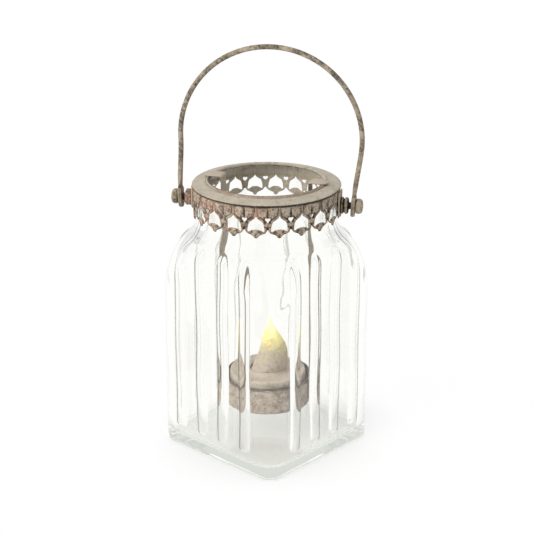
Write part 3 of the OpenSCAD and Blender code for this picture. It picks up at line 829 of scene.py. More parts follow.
@dataclass
class GlassJar:
    """Square jar with four ribs pressed on each side, a domed shoulder and a beaded lip."""

    width: float = 82.0
    corner: float = 12.0
    hollow_corner: float = 10.7
    height: float = 142.6
    wall: float = 3.2
    floor: float = 5.6
    heel: float = 4.0
    neck_r: float = 35.3
    mouth_r: float = 31.0
    bead_r: float = 36.6
    bead_h: float = 4.8
    lip_round: float = 2.0
    mouth_round: Range = (3.4, 5.6)
    dome_r: float = 53.312
    dome_z: float = 84.945
    reach: float = 26.0
    rise: float = 36.0
    hollow: float = 6.0
    swell: float = 1.0
    rib_pitch: float = 15.2
    rib_half: float = 3.8
    rib_h: float = 1.3
    rib_low: float = 11.5
    rib_high: float = 122.0
    rib_fade: float = 16.0
    rib_foot: float = 0.16
    push_up: float = 0.7
    fillet: float = 3.0
    sway: float = 0.35
    sway_h: float = 9.0
    ripple: float = 0.35
    ripple_top: float = 110.0
    ripple_fade: float = 20.0
    ease_low: float = 0.4
    ease_more: float = 4.4
    ease_h: float = 20.0
    turn: float = 57.8

    def columns(self) -> tuple[np.ndarray, np.ndarray]:
        """Places of the columns of one side: along the flat, then round the corner.

        Returns:
            Distance along the flat for each column, and angle round the corner, in radians.
        """
        flat = self.width / 2 - self.corner
        rib_columns, overlap, valley, corner_columns = 17, 1.12, 1.2, 12
        across = np.sin(np.linspace(-1, 1, rib_columns) * math.pi / 2) * overlap
        ribs = [(k - 1.5) * self.rib_pitch + across * self.rib_half for k in range(4)]
        between = [k * self.rib_pitch + np.array([-valley, valley]) for k in (-1, 0, 1)]
        along = np.unique(np.round(np.concatenate(ribs + between + [[-flat, flat]]), 4))
        bend = np.linspace(0, math.pi / 2, corner_columns + 2)[1:-1]
        return (
            np.concatenate([along, np.full(len(bend), flat)]),
            np.concatenate([np.zeros(len(along)), bend]),
        )

    def rib_rise(self, along: np.ndarray, height: float) -> np.ndarray:
        """How far the ribs stand out of a side.

        Args:
            along: Places along the side from its middle, in millimetres.
            height: The height, in millimetres.

        Returns:
            How far they stand out at each place, in millimetres.
        """
        round_r = (self.rib_half**2 + self.rib_h**2) / (2 * self.rib_h)
        from_low = (height - self.rib_low) / self.rib_half
        from_top = (self.rib_high - height) / self.rib_fade
        from_end = min(from_low, from_top)
        short = 1.0 if from_end >= 1 else 1 - (1 - max(from_end, 0.0)) ** 2
        pitch = self.rib_pitch
        off = along - (np.clip(np.floor(along / pitch), -2, 1) + 0.5) * pitch
        out = np.sqrt(np.maximum(round_r**2 * short - off**2, 0)) + self.rib_h - round_r
        return (out + np.sqrt(out**2 + self.rib_foot**2)) / 2

    def flank_share(self) -> np.ndarray:
        """How far each column of a side lies on the steep flank of a rib.

        Returns:
            A share for each column, from 0 to 1.
        """
        along, bend = self.columns()
        middle, tiny = (self.rib_low + self.rib_high) / 2, 0.1
        climb = self.rib_rise(along + tiny, middle) - self.rib_rise(along - tiny, middle)
        gentle, span = 0.25, 0.3
        return np.clip((np.abs(climb) / (2 * tiny) - gentle) / span, 0, 1) * (bend == 0)

    def dome(self, height: float, inside: bool) -> float:
        """Radius of the round form of the jar at a height.

        Args:
            height: The height, in millimetres.
            inside: Whether the hollow's form is asked for.

        Returns:
            The radius, in millimetres.
        """
        if inside:
            top, out = self.mouth_r, self.dome_r - self.wall
            reach, rise = self.reach - self.wall + self.swell, self.rise - self.wall
        else:
            top, out, reach, rise = self.neck_r, self.dome_r, self.reach, self.rise
        end = math.acos((top + self.hollow - (out - reach)) / reach)
        step = self.hollow * rise * math.cos(end) / (reach * math.sin(end))
        start_z = self.dome_z + rise * math.sin(end)
        foot_z = start_z + step + math.hypot(self.hollow, step)
        if height <= self.dome_z:
            return out
        if height >= foot_z:
            return top
        if height <= start_z:
            return out - reach + reach * math.sqrt(1 - ((height - self.dome_z) / rise) ** 2)
        t = np.linspace(0, 1, 40)
        z = (1 - t) ** 2 * start_z + 2 * t * (1 - t) * (start_z + step) + t**2 * foot_z
        r = (1 - t) ** 2 * (top + self.hollow) + (1 - (1 - t) ** 2) * top
        return float(np.interp(height, z, r))

    def ease(self, height: float) -> float:
        """Width of the soft change from flat wall to dome, which opens over the shoulder."""
        part = min(max((height - self.dome_z) / self.ease_h, 0.0), 1.0)
        return self.ease_low + self.ease_more * part * part * (3 - 2 * part)

    def ring(
        self, height: float, inset: float = 0.0, inside: bool = False, size: float = 1.0
    ) -> np.ndarray:
        """One ring of the jar, as places in millimetres.

        Args:
            height: Its height.
            inset: How far it lies inside the jar's outer walls.
            inside: Whether it is a ring of the hollow.
            size: Its size beside a full ring, for rings on the base and floor.

        Returns:
            Places for all columns round the jar.
        """
        along, bend = self.columns()
        face = self.width / 2 - inset
        corner_r = self.hollow_corner + self.wall - inset if inside else self.corner - inset
        flat = face - corner_r
        full = corner_r + 0.6 * inset * np.sin(2 * bend) * (not inside)
        on_flat = bend == 0
        out = np.where(on_flat, face, flat + full * np.cos(bend))
        side = np.where(on_flat, along * flat / along.max(), flat + full * np.sin(bend))
        dome = self.dome(height, inside)
        ease = self.ease(height)
        radius = np.hypot(out, side)
        near = np.maximum(ease - np.abs(radius - dome), 0) / ease
        kept = np.minimum(radius, dome) - near**2 * ease / 4
        out, side = out * kept / radius * size, side * kept / radius * size
        up = np.full_like(out, height)
        if not inside and inset == 0:
            phase = 2.2 * np.round(along / self.rib_pitch + 0.5)
            sway = np.sin(height / self.sway_h + phase)
            side = side + self.sway * sway * on_flat * (1 - (along / along.max()) ** 8)
            rise = self.rib_rise(along, height) * on_flat
            over = np.clip((radius - dome) / ease + 0.5, 0, 1)
            lean = math.atan2(self.dome(height - 1, False) - self.dome(height + 1, False), 2) * over
            out += rise * np.cos(lean)
            up += rise * np.sin(lean)
        rings = []
        for quarter in range(4):
            angle = math.radians(self.turn + 90 * quarter)
            x = out * math.cos(angle) - side * math.sin(angle)
            y = out * math.sin(angle) + side * math.cos(angle)
            rings.append(np.stack([x, y, up], axis=1))
        return np.concatenate(rings)

    def round_ring(self, radius: float, height: float) -> np.ndarray:
        """A round ring with the same columns as the others.

        Args:
            radius: Its radius.
            height: Its height.

        Returns:
            Places for all columns round the jar.
        """
        ring = self.ring(self.height, 0.0)
        ring[:, :2] *= (radius / np.hypot(ring[:, 0], ring[:, 1]))[:, None]
        ring[:, 2] = height
        return ring

    def outside(self) -> list[np.ndarray]:
        """Rings from the middle of the base up the walls to the bead.

        Returns:
            The rings.
        """
        rings = [
            self.ring(self.push_up * (1 - size**2), self.heel, size=size)
            for size in (0.0, 0.3, 0.6, 0.8, 0.93, 1.0)
        ]
        for angle in np.radians(np.linspace(-90, 0, 8))[1:]:
            inset = self.heel * (1 - math.cos(angle))
            rings.append(self.ring(self.heel * (1 + math.sin(angle)), inset))
        ends = np.array([0.0, 0.6, 1.1, 1.4, 1.7, 2.1, 2.6, 3.2, 3.8, 4.4])
        steps = np.concatenate(
            [
                [6.5, 9.0],
                self.rib_low + ends,
                np.linspace(20, 84, 12),
                np.linspace(87, 103, 9),
                np.linspace(104.2, 128.6, 42),
                [131.5, 134.5],
            ]
        )
        return rings + [self.ring(z) for z in steps]

    def lip(self) -> list[np.ndarray]:
        """Round rings over the bead and the lip down into the mouth.

        Returns:
            The rings.
        """
        bead_z = self.height - self.bead_h
        out = self.bead_r - self.neck_r
        shape = [(self.neck_r, bead_z - out), (self.neck_r + out * 0.5, bead_z - out * 0.45)]
        shape += [(self.bead_r - 0.12, bead_z - 0.15), (self.bead_r, bead_z + 0.5)]
        lip, (wide, high) = self.lip_round, self.mouth_round
        upwards, downwards = np.linspace(0, 90, 12), np.linspace(90, 0, 12)
        shape += arc((self.bead_r - lip, self.height - lip), lip, lip, upwards)
        shape += arc((self.mouth_r + wide, self.height - high), -wide, high, downwards)
        return [self.round_ring(r, z) for r, z in shape]

    def inside(self) -> list[np.ndarray]:
        """Rings of the hollow, from the neck down to the middle of the floor.

        Returns:
            The rings.
        """
        steps = np.concatenate([np.linspace(136.2, 98, 44), np.linspace(94, 16, 14), [12.0]])
        rings = []
        for z in steps:
            ring = self.ring(z, self.wall, inside=True)
            around = np.arctan2(ring[:, 1], ring[:, 0])
            fade = float(np.clip((self.ripple_top - z) / self.ripple_fade, 0, 1)) * self.ripple
            wave = np.sin(3 * around + z / 13) * np.sin(2 * around - z / 19 + 1.0)
            ring[:, :2] *= (1 - fade * wave / 48)[:, None]
            rings.append(ring)
        for angle in np.radians(np.linspace(0, 90, 7)):
            inset = self.wall + self.fillet * (1 - math.cos(angle))
            z = self.floor + self.fillet * (1 - math.sin(angle))
            rings.append(self.ring(z, inset, inside=True))
        last = self.wall + self.fillet
        rings += [
            self.ring(self.floor + 0.3 * (1 - size), last, inside=True, size=size)
            for size in (0.93, 0.8, 0.6, 0.3, 0.0)
        ]
        return rings

    def build(self, finish: ClearGlass) -> None:
        """Builds the jar and dresses it.

        Args:
            finish: The glass.
        """
        outside = self.outside()
        rings = np.stack(outside + self.lip() + self.inside())
        jar = woven_grid("jar", rings, wrap=True)
        # the rings of the heel's curve take the foot's tint
        foot = np.zeros(len(rings))
        foot[6:10] = (0.6, 1.0, 0.9, 0.4)
        store(jar, "foot", np.repeat(foot, rings.shape[1] + 1))
        # the ribs' steep flanks carry the glass's painted dark refraction lines
        flank = np.tile(self.flank_share(), 4)
        flank = np.tile(np.append(flank, flank[0]), (len(rings), 1))
        flank[len(outside) :] = 0
        store(jar, "flank", flank.ravel())
        close_mesh(jar, 0.002)
        bpy.ops.object.shade_smooth()
        hand_over(jar, Body.LANTERN, Slot.GLASS, finish.mixed(), "glass_jar")


# --- collar and pierced skirt ----------------------------------------------------------------


def softened(half: list[Point], passes: int = 2) -> list[Point]:
    """Cuts the corners of a half outline, and leaves its two ends where they are.

    Args:
        half: The half outline's points.
        passes: How many times the corners are cut.

    Returns:
        The softer half outline.
    """
    for _ in range(passes):
        cut = [half[0]]
        for (ax, ay), (bx, by) in zip(half, half[1:]):
            cut += [(ax * 0.75 + bx * 0.25, ay * 0.75 + by * 0.25)]
            cut += [(ax * 0.25 + bx * 0.75, ay * 0.25 + by * 0.75)]
        half = cut + [half[-1]]
    return half


def distance_to(x: np.ndarray, y: np.ndarray, half: list[Point]) -> np.ndarray:
    """Distance to an outline that mirrors itself about x = 0, negative inside it.

    Args:
        x, y: The places.
        half: The outline's right half, from its top to its bottom.

    Returns:
        A distance for each place.
    """
    outline = half + [(-px, py) for px, py in reversed(half) if px > 0]
    nearest, inside = np.full(x.shape, 1e9), np.zeros(x.shape, dtype=bool)
    for (ax, ay), (bx, by) in zip(outline, outline[1:] + outline[:1]):
        ex, ey = bx - ax, by - ay
        t = np.clip(((x - ax) * ex + (y - ay) * ey) / max(ex * ex + ey * ey, 1e-9), 0, 1)
        nearest = np.minimum(nearest, np.hypot(x - ax - t * ex, y - ay - t * ey))
        if ay != by:
            inside ^= ((ay > y) != (by > y)) & (x < ex * (y - ay) / ey + ax)
    return np.where(inside, -nearest, nearest)


@dataclass
class PiercedSkirt:
    """Band of pressed lace round the collar: petals over ogee openings with hanging palmettes.

    The pattern is drawn flat, x across a motif and y down from the plate's edge.
    """

    inner_r: float = 36.95
    relief: float = 0.62
    sheet: float = 0.42
    edge_z: float = 143.116
    top: float = 0.98
    drop: float = 17.6
    drawn_pitch: float = 12.0
    motifs: int = 20
    turn: float = 2.6
    cell: float = 0.235
    pin_z: float = 133.316
    pin_room: float = 2.2
    seam: float = 0.02

    # right halves of the openings, the bar beside the petal, and the notch under the band
    OGEE = [(0, 5.9), (0.45, 7.1), (1.5, 7.9), (2.9, 8.7), (3.7, 9.9), (4.05, 11.6), (4.3, 13.2)]
    OGEE += [(4.1, 13.85), (3.3, 13.75), (2.4, 13.0), (1.0, 12.75), (0, 12.7)]
    LINE = ([1.0, 3.0, 4.9, 6.0, 7.0, 8.2], [0.5, 0.6, 0.85, 1.35, 2.3, 3.6])
    HEART = [(0, 7.3), (0.45, 7.1), (1.1, 7.1), (1.4, 7.6), (1.2, 8.1), (0, 9.4)]
    VALLEY = [(0, 13.1), (0.6, 14), (1.6, 15.1), (3.3, 15.6), (4.4, 16.2), (5.1, 17.3)]
    VALLEY += [(5.6, 17.5), (6, 17.62)]

    def openings(self, x: np.ndarray, y: np.ndarray) -> np.ndarray:
        """Distance to the nearest opening of the pattern.

        Args:
            x, y: Places in the drawing.

        Returns:
            A distance for each place, negative in an opening.
        """
        off = np.abs(x) - self.drawn_pitch / 2
        valley = softened(self.VALLEY) + [(6.0, 30.0), (0.0, 30.0)]
        return np.minimum.reduce(
            [
                distance_to(x, y, softened(self.OGEE)),
                distance_to(off, y, softened(self.HEART)),
                distance_to(off, y, valley),
            ]
        )

    def pressing(self, x: np.ndarray, y: np.ndarray) -> tuple[np.ndarray, np.ndarray]:
        """Height of the pressed relief and depth of its dark lines, both from 0 to 1; the dark
        lines are grime and painted shade in the low ground, and painted shade in the dimples and
        under the plate.

        Args:
            x, y: Places in the drawing.

        Returns:
            Relief and dark lines.
        """
        a = np.abs(x)
        off = self.drawn_pitch / 2 - a

        def mound(depth: np.ndarray, wide: float, high: float) -> np.ndarray:
            """A rounded mound that rises over this width inwards from an outline."""
            return high * np.sqrt(np.clip(1 - (1 - np.clip(depth / wide, 0, 1)) ** 2, 0, 1))

        slot_half = 0.45 * np.clip(np.sin((y - 2.5) / 4.5 * math.pi * 0.92), 0, 1)
        slot_half *= (y > 2.5) & (y < 7.0)
        side_line = np.interp(y, self.LINE[0], self.LINE[1])
        brow = y - 1.2 - 0.32 * ((off - 2.6) / 2.3) ** 2
        chin = 7.3 - y - 0.9 * np.clip(1 - off / 1.6, 0, 1) - 0.22 * (a - side_line < 1.2)
        petal = [a - side_line - 0.1, off - np.maximum(0.08, slot_half), brow, chin]
        bar = np.where((y > 1.0) & (y < 6.3), side_line - 0.04 - a, -1.0)
        from_ogee = distance_to(x, y, softened(self.OGEE))
        strap = np.where(y > 5.9, 0.64 - np.abs(from_ogee - 0.68), -1.0)
        cheek = 2.75 - np.hypot(a, (y - 14.25) * 1.2)
        tip = 1.3 - np.hypot(a, np.maximum(y - 15.9, 0)) + np.minimum(y - 14, 0)
        knot = 1.25 - np.hypot(off, (y - 10.4) * 0.9)
        button = 0.6 - np.hypot(off, y - 1.75)
        mounds = [(np.minimum.reduce(petal), 0.75, 0.86), (bar, 0.35, 0.66), (strap, 0.5, 0.78)]
        mounds += [(cheek, 1.2, 0.95), (tip, 1.0, 1.0), (knot, 0.8, 0.9), (button, 0.4, 0.7)]
        relief = np.maximum.reduce([mound(*row) for row in mounds])
        # grime and painted shade in the low ground between the raised parts
        dark = 1 - np.clip(relief / 0.5, 0, 1)

        def dot(px: np.ndarray, py: float, size: float) -> np.ndarray:
            """A dimple, dark with painted shade."""
            return np.clip(1.4 - np.hypot(px, y - py) / size, 0, 1)

        slot = np.clip((slot_half - off) / 0.18 + 0.5, 0, 1) * (slot_half > 0)
        crease = np.clip(1.3 - a / 0.2, 0, 1) * ((y > 15.1) & (y < 17.0))
        marks = [dot(a - 2.0, 14.1, 0.5), dot(off - 1.55, 9.35, 0.42), dot(off - 1.2, 11.6, 0.35)]
        marks += [dot(off - 1.7, 6.5, 0.3), dot(off - 3.3, 6.6, 0.24), slot, crease * 0.8]
        # painted shade under the plate's edge
        shade_under_plate = np.clip((1.75 - y) / 0.6, 0, 1)
        cut = np.maximum.reduce(marks)
        return relief * (1 - 0.75 * cut), np.maximum.reduce([dark, cut, shade_under_plate])

    def motif(self) -> tuple[np.ndarray, np.ndarray, np.ndarray, np.ndarray]:
        """One motif as a grid with its openings' edges on grid points.

        Returns:
            Place across and down the drawing of each point, its relief and dark lines as two
            layers, and which cells are kept.
        """
        columns = 2 * round(self.drawn_pitch / self.cell / 2)
        rows = round((self.drop - self.top) / self.cell)
        x, y = np.meshgrid(
            np.linspace(-self.drawn_pitch / 2, self.drawn_pitch / 2, columns + 1),
            np.linspace(self.top, self.drop, rows + 1),
        )
        inner = (np.abs(x) < self.drawn_pitch / 2 - 1e-6) * 1.0
        for _ in range(2):
            gap, tiny = self.openings(x, y), 0.02
            gx = (self.openings(x + tiny, y) - self.openings(x - tiny, y)) / (2 * tiny)
            gy = (self.openings(x, y + tiny) - self.openings(x, y - tiny)) / (2 * tiny)
            near = np.abs(gap) < self.cell * 0.62
            size = np.maximum(np.hypot(gx, gy), 0.5)
            x = x - np.where(near, gap * gx / size, 0) * inner
            y = y - np.where(near, gap * gy / size, 0)
        y = np.clip(y, self.top, self.drop)
        mid_x = (x[1:, 1:] + x[1:, :-1] + x[:-1, 1:] + x[:-1, :-1]) / 4
        mid_y = (y[1:, 1:] + y[1:, :-1] + y[:-1, 1:] + y[:-1, :-1]) / 4
        return x, y, np.stack(self.pressing(x, y)), self.openings(mid_x, mid_y) > 0

    def build(self, finish: bpy.types.Material) -> None:
        """Builds the front and rear half and dresses them.

        Args:
            finish: The skirt's paint.
        """
        x, y, (relief, dark), kept = self.motif()
        step = 2 * math.pi / self.motifs
        start = math.radians(self.turn)
        angles = [start + step * (k + x / self.drawn_pitch) for k in range(self.motifs)]
        height = self.edge_z - y
        mid_z = (height[:-1, :-1] + height[1:, 1:]) / 2
        r = self.inner_r + self.sheet * 0.5 + self.relief * relief
        # raised tops turn toward the lighter bare colour: wear and a painted highlight
        raised = np.clip(relief * 1.6 - 0.75, 0, 0.5)
        lit_front_x, lit_front_share = (-36.0, -26.0, -4.0), (0.8, 0.5, 1.0)
        for half, low in (("front", math.pi), ("rear", 0.0)):
            strips = []
            for angle in angles:
                middle = (angle[:-1, :-1] + angle[1:, 1:]) / 2
                here = ((np.median(middle, axis=0) - low) % (2 * math.pi)) < math.pi
                side = np.abs(np.sin(middle)) * self.inner_r
                clear = np.hypot(side, mid_z - self.pin_z) > self.pin_room
                wanted = kept & here & clear
                if not wanted.any():
                    continue
                places = np.stack([r * np.cos(angle), r * np.sin(angle), height], axis=2)
                strip = woven_grid("skirt_strip", places)
                store(strip, "edge", raised.ravel())
                # painted light: the dark lines fade on the front left, where the key lamp falls
                lit_front_fade = np.interp(np.cos(angle) * self.inner_r, lit_front_x, lit_front_share)
                store(strip, "hollow", (dark * np.where(np.sin(angle) < 0, lit_front_fade, 1.0)).ravel())
                self.drop_cells(strip, wanted)
                strips.append(strip)
            skirt = joined("skirt_" + half, strips)
            self.thicken(skirt)
            self.lighten_inside(skirt)
            hand_over(skirt, Body.LANTERN, Slot.LACE, finish, "lace_band_" + half)

    def lighten_inside(self, skirt: Piece) -> None:
        """Paints the side that faces the glass in the lighter bare colour with few dark lines:
        painted light, as little light reaches it.

        Args:
            skirt: The half of the band, with its thickness.
        """
        facing = column(skirt.data.vertices, "normal", 3)
        inner = (facing * points_of(skirt))[:, :2].sum(axis=1) < 0
        dark = column(skirt.data.attributes["hollow"].data, "value")
        worn = column(skirt.data.attributes["edge"].data, "value")
        store(skirt, "hollow", dark * np.where(inner, 0.12, 1.0))
        store(skirt, "edge", np.where(inner, 1.0, worn))

    def drop_cells(self, strip: Piece, wanted: np.ndarray) -> None:
        """Deletes the cells of a strip that lie in openings.

        Args:
            strip: The strip.
            wanted: Which of its cells stay.
        """
        pick(strip)
        strip.data.polygons.foreach_set("select", ~wanted.ravel())
        bpy.ops.object.mode_set(mode="EDIT")
        bpy.ops.mesh.select_mode(type="FACE")
        bpy.ops.object.mode_set(mode="OBJECT")
        strip.data.polygons.foreach_set("select", ~wanted.ravel())
        bpy.ops.object.mode_set(mode="EDIT")
        bpy.ops.mesh.delete(type="FACE")
        bpy.ops.mesh.select_mode(type="VERT")
        bpy.ops.object.mode_set(mode="OBJECT")

    def thicken(self, skirt: Piece) -> None:
        """Closes the seams between motifs and gives the sheet its thickness.

        Args:
            skirt: The half of the band, as a bare sheet.
        """
        pick(skirt)
        edit_all()
        bpy.ops.mesh.remove_doubles(threshold=self.seam * MM)
        bpy.ops.object.mode_set(mode="OBJECT")
        bpy.ops.object.mode_set(mode="EDIT")
        bpy.ops.mesh.select_mode(type="VERT")
        bpy.ops.mesh.select_all(action="DESELECT")
        bpy.ops.mesh.select_non_manifold(
            extend=False,
            use_wire=False,
            use_multi_face=False,
            use_non_contiguous=False,
            use_verts=False,
        )
        bpy.ops.mesh.vertices_smooth(factor=0.5, repeat=3)
        bpy.ops.object.mode_set(mode="OBJECT")
        middle = skirt.data.polygons[len(skirt.data.polygons) // 2]
        if middle.normal.xy.dot(middle.center.xy) < 0:
            skirt.data.flip_normals()
        apply_modifier(skirt, "SOLIDIFY", thickness=self.sheet * MM, offset=-1.0)
        smooth(skirt, 50)


@dataclass
class CollarPlate:
    """Dished ring over the lip with a rolled edge round its opening."""

    outer_r: float = 38.2
    edge_z: float = 143.116
    thick: float = 0.9
    slope: float = 0.19
    roll_mid_r: float = 29.95
    roll_r: float = 0.95
    roll_z: float = 144.44

    def profile(self) -> list[Point]:
        """The ring's outline: round the roll, out underneath, and back over the top.

        Returns:
            Radius and height of each point.
        """
        middle = (self.roll_mid_r, self.roll_z)
        points = arc(middle, self.roll_r, self.roll_r, range(-20, 241, 20))
        under = [
            (self.roll_mid_r + 0.6, self.roll_z - 0.95),
            (33.0, self.edge_z + (self.outer_r - 33.0) * self.slope - self.thick),
            (self.outer_r - 0.25, self.edge_z - self.thick),
            (self.outer_r, self.edge_z - self.thick + 0.2),
        ]
        top = [(self.outer_r, self.edge_z - 0.42), (self.outer_r - 0.12, self.edge_z - 0.16)]
        top += [(self.outer_r - 0.4, self.edge_z + 0.02), (self.outer_r - 0.9, self.edge_z + 0.15)]
        for r in (36.0, 34.0, 32.4, 31.4):
            top.append((r, self.edge_z + (self.outer_r - r) * self.slope))
        return points + under + top

    def build(self, finish: AgedPaint) -> None:
        """Builds the plate and dresses it.

        Args:
            finish: Its paint.
        """
        plate = turned("collar", self.profile(), sides=192, closed=True)
        smooth(plate, 60)
        x, y, z = points_of(plate).T
        radius = np.hypot(x, y)
        front = np.clip(0.5 - y / 30 + x / 90, 0, 1)
        off, up = radius - self.roll_mid_r, z - self.roll_z
        crest = (off > 0.4) & (off < 0.9) & (up > 0.2)
        # painted shade: a dark line on the roll's inner side, on top at the front and underneath at
        # the back
        roll_inner_shade = (off < 0.2) & np.where(y < 0, up > 0.3, up < -0.35)
        # painted shade with grime under the plate's outer edge, over the skirt
        rim = (z < self.edge_z - 0.38) & (off > 2)
        outer = radius > self.outer_r - 0.3
        store(plate, "edge", np.where(crest, 0.42 * front, 0.0) + np.where(outer, 0.1, 0.0))
        store(plate, "hollow", np.where(roll_inner_shade, 0.9, 0.0) + np.where(rim, 1.0, 0.0))
        hand_over(plate, Body.LANTERN, Slot.COLLAR, finish.mixed(), "collar_plate")


# --- lugs, pins and bail ---------------------------------------------------------------------


@dataclass
class Lugs:
    """Curved plates over the skirt's seams with round bosses, and the pins the bail turns on."""

    pin_z: float = 133.316
    plate_r: float = 38.85
    plate_t: float = 1.0
    plate_w: float = 10.0
    plate_h: float = 13.4
    plate_point: float = 2.6
    plate_sink: float = 0.22
    plate_top: float = 140.616
    boss_r: float = 4.3
    boss_end: float = 42.35
    pin_r: float = 1.8
    tail_x: float = 36.6
    tail_r: float = 2.7
    head_x: float = 46.35
    head_r: float = 3.9
    head_t: float = 3.5

    def plate(self, side: Side) -> Piece:
        """The curved plate of one side, with a pointed lower end and a raised border.

        Args:
            side: The side of the lantern.

        Returns:
            The piece.
        """
        across, down = np.meshgrid(np.linspace(-1, 1, 25), np.linspace(0, 1, 31))
        depth = down * (self.plate_h - self.plate_point * np.abs(across) ** 1.6)
        angle = np.arcsin(across * self.plate_w / 2 / self.plate_r)
        rim = np.clip((np.abs(across) - 0.8) / 0.08, 0, 1)
        r = self.plate_r - self.plate_sink * (1 - rim)
        x, y = r * np.cos(angle), r * np.sin(angle)
        places = np.stack([side.value * x, y, self.plate_top - depth], axis=2)
        plate = woven_grid("lug_" + side.label, places)
        middle = plate.data.polygons[len(plate.data.polygons) // 2]
        if middle.normal.x * side.value < 0:
            plate.data.flip_normals()
        apply_modifier(plate, "SOLIDIFY", thickness=(self.plate_t - 0.3) * MM, offset=-1.0)
        smooth(plate, 50)
        mark_edges(plate, full=1.2)
        return plate

    def boss(self, side: Side) -> Piece:
        """The round spacer on the plate, grooved round its middle, deeper on the right, with
        painted shade in the cut and at its joints, far stronger on the right.

        Args:
            side: The side of the lantern.

        Returns:
            The piece.
        """
        root, end, r = self.plate_r - 0.6, self.boss_end, self.boss_r
        # the right boss has the deeper cut and the stronger painted shade
        cut, dark = (0.75, 1.0) if side is Side.RIGHT else (0.12, 0.25)
        profile = [(0.0, root), (r - 0.3, root), (r - 0.1, root + 0.9), (r, root + 1.2)]
        profile += [(r, root + 1.5), (r - cut, root + 1.8), (r - cut, root + 2.3)]
        profile += [(r - 0.1, root + 2.6), (r, root + 2.9), (r, end - 0.7)]
        profile += [(r - 0.2, end - 0.25), (r - 0.7, end), (self.pin_r + 0.4, end), (0.0, end)]
        boss = turned("boss_" + side.label, profile, sides=48)
        laid_on_axis(boss, side, self.pin_z)
        smooth(boss)
        mark_edges(boss, full=1.4)
        out = np.abs(points_of(boss)[:, 0])
        # painted shade in the cut round the middle, where it meets the plate and under the pin's
        # head
        groove = (np.abs(out - root - 2.05) < 0.3) | (out < root + 1.0) | (out > end - 0.3)
        store(boss, "hollow", groove * dark)
        return boss

    def pin(self, side: Side) -> Piece:
        """The rivet with its bun head, shank and clinched tail.

        Args:
            side: The side of the lantern.

        Returns:
            The piece.
        """
        x, r, t = self.head_x, self.head_r, self.head_t
        profile = [(0.0, self.tail_x - 0.8), (self.tail_r, self.tail_x - 0.7)]
        profile += [(self.tail_r, self.tail_x), (self.pin_r, self.tail_x), (self.pin_r, x)]
        profile += [(r - 0.6, x), (r - 0.15, x + 0.35), (r, x + 0.9)]
        profile += arc((r * 0.55, x + t * 0.45), r * 0.45, t * 0.5, range(0, 90, 15))
        profile += [(r * 0.35, x + t - 0.03), (0.0, x + t)]
        pin = turned("pin_" + side.label, profile, sides=48)
        laid_on_axis(pin, side, self.pin_z)
        smooth(pin)
        mark_edges(pin, full=1.2)
        out = np.abs(points_of(pin)[:, 0])
        # painted shade under the head and along the shank
        store(pin, "hollow", (out < x + 0.4) * 1.0)
        return pin

    def build(self, lace: bpy.types.Material, bail: bpy.types.Material) -> None:
        """Builds both sides and dresses them.

        Args:
            lace: The skirt's paint, for the plates.
            bail: The bail's paint, for bosses and pins.
        """
        for side in Side:
            label = side.label
            hand_over(self.plate(side), Body.LANTERN, Slot.LACE, lace, "lug_plate_" + label)
            boss_finish = bail if side is Side.RIGHT else lace
            hand_over(self.boss(side), Body.LANTERN, Slot.BAIL, boss_finish, "lug_boss_" + label)
            hand_over(self.pin(side), Body.LANTERN, Slot.BAIL, bail, "pivot_pin_" + label)


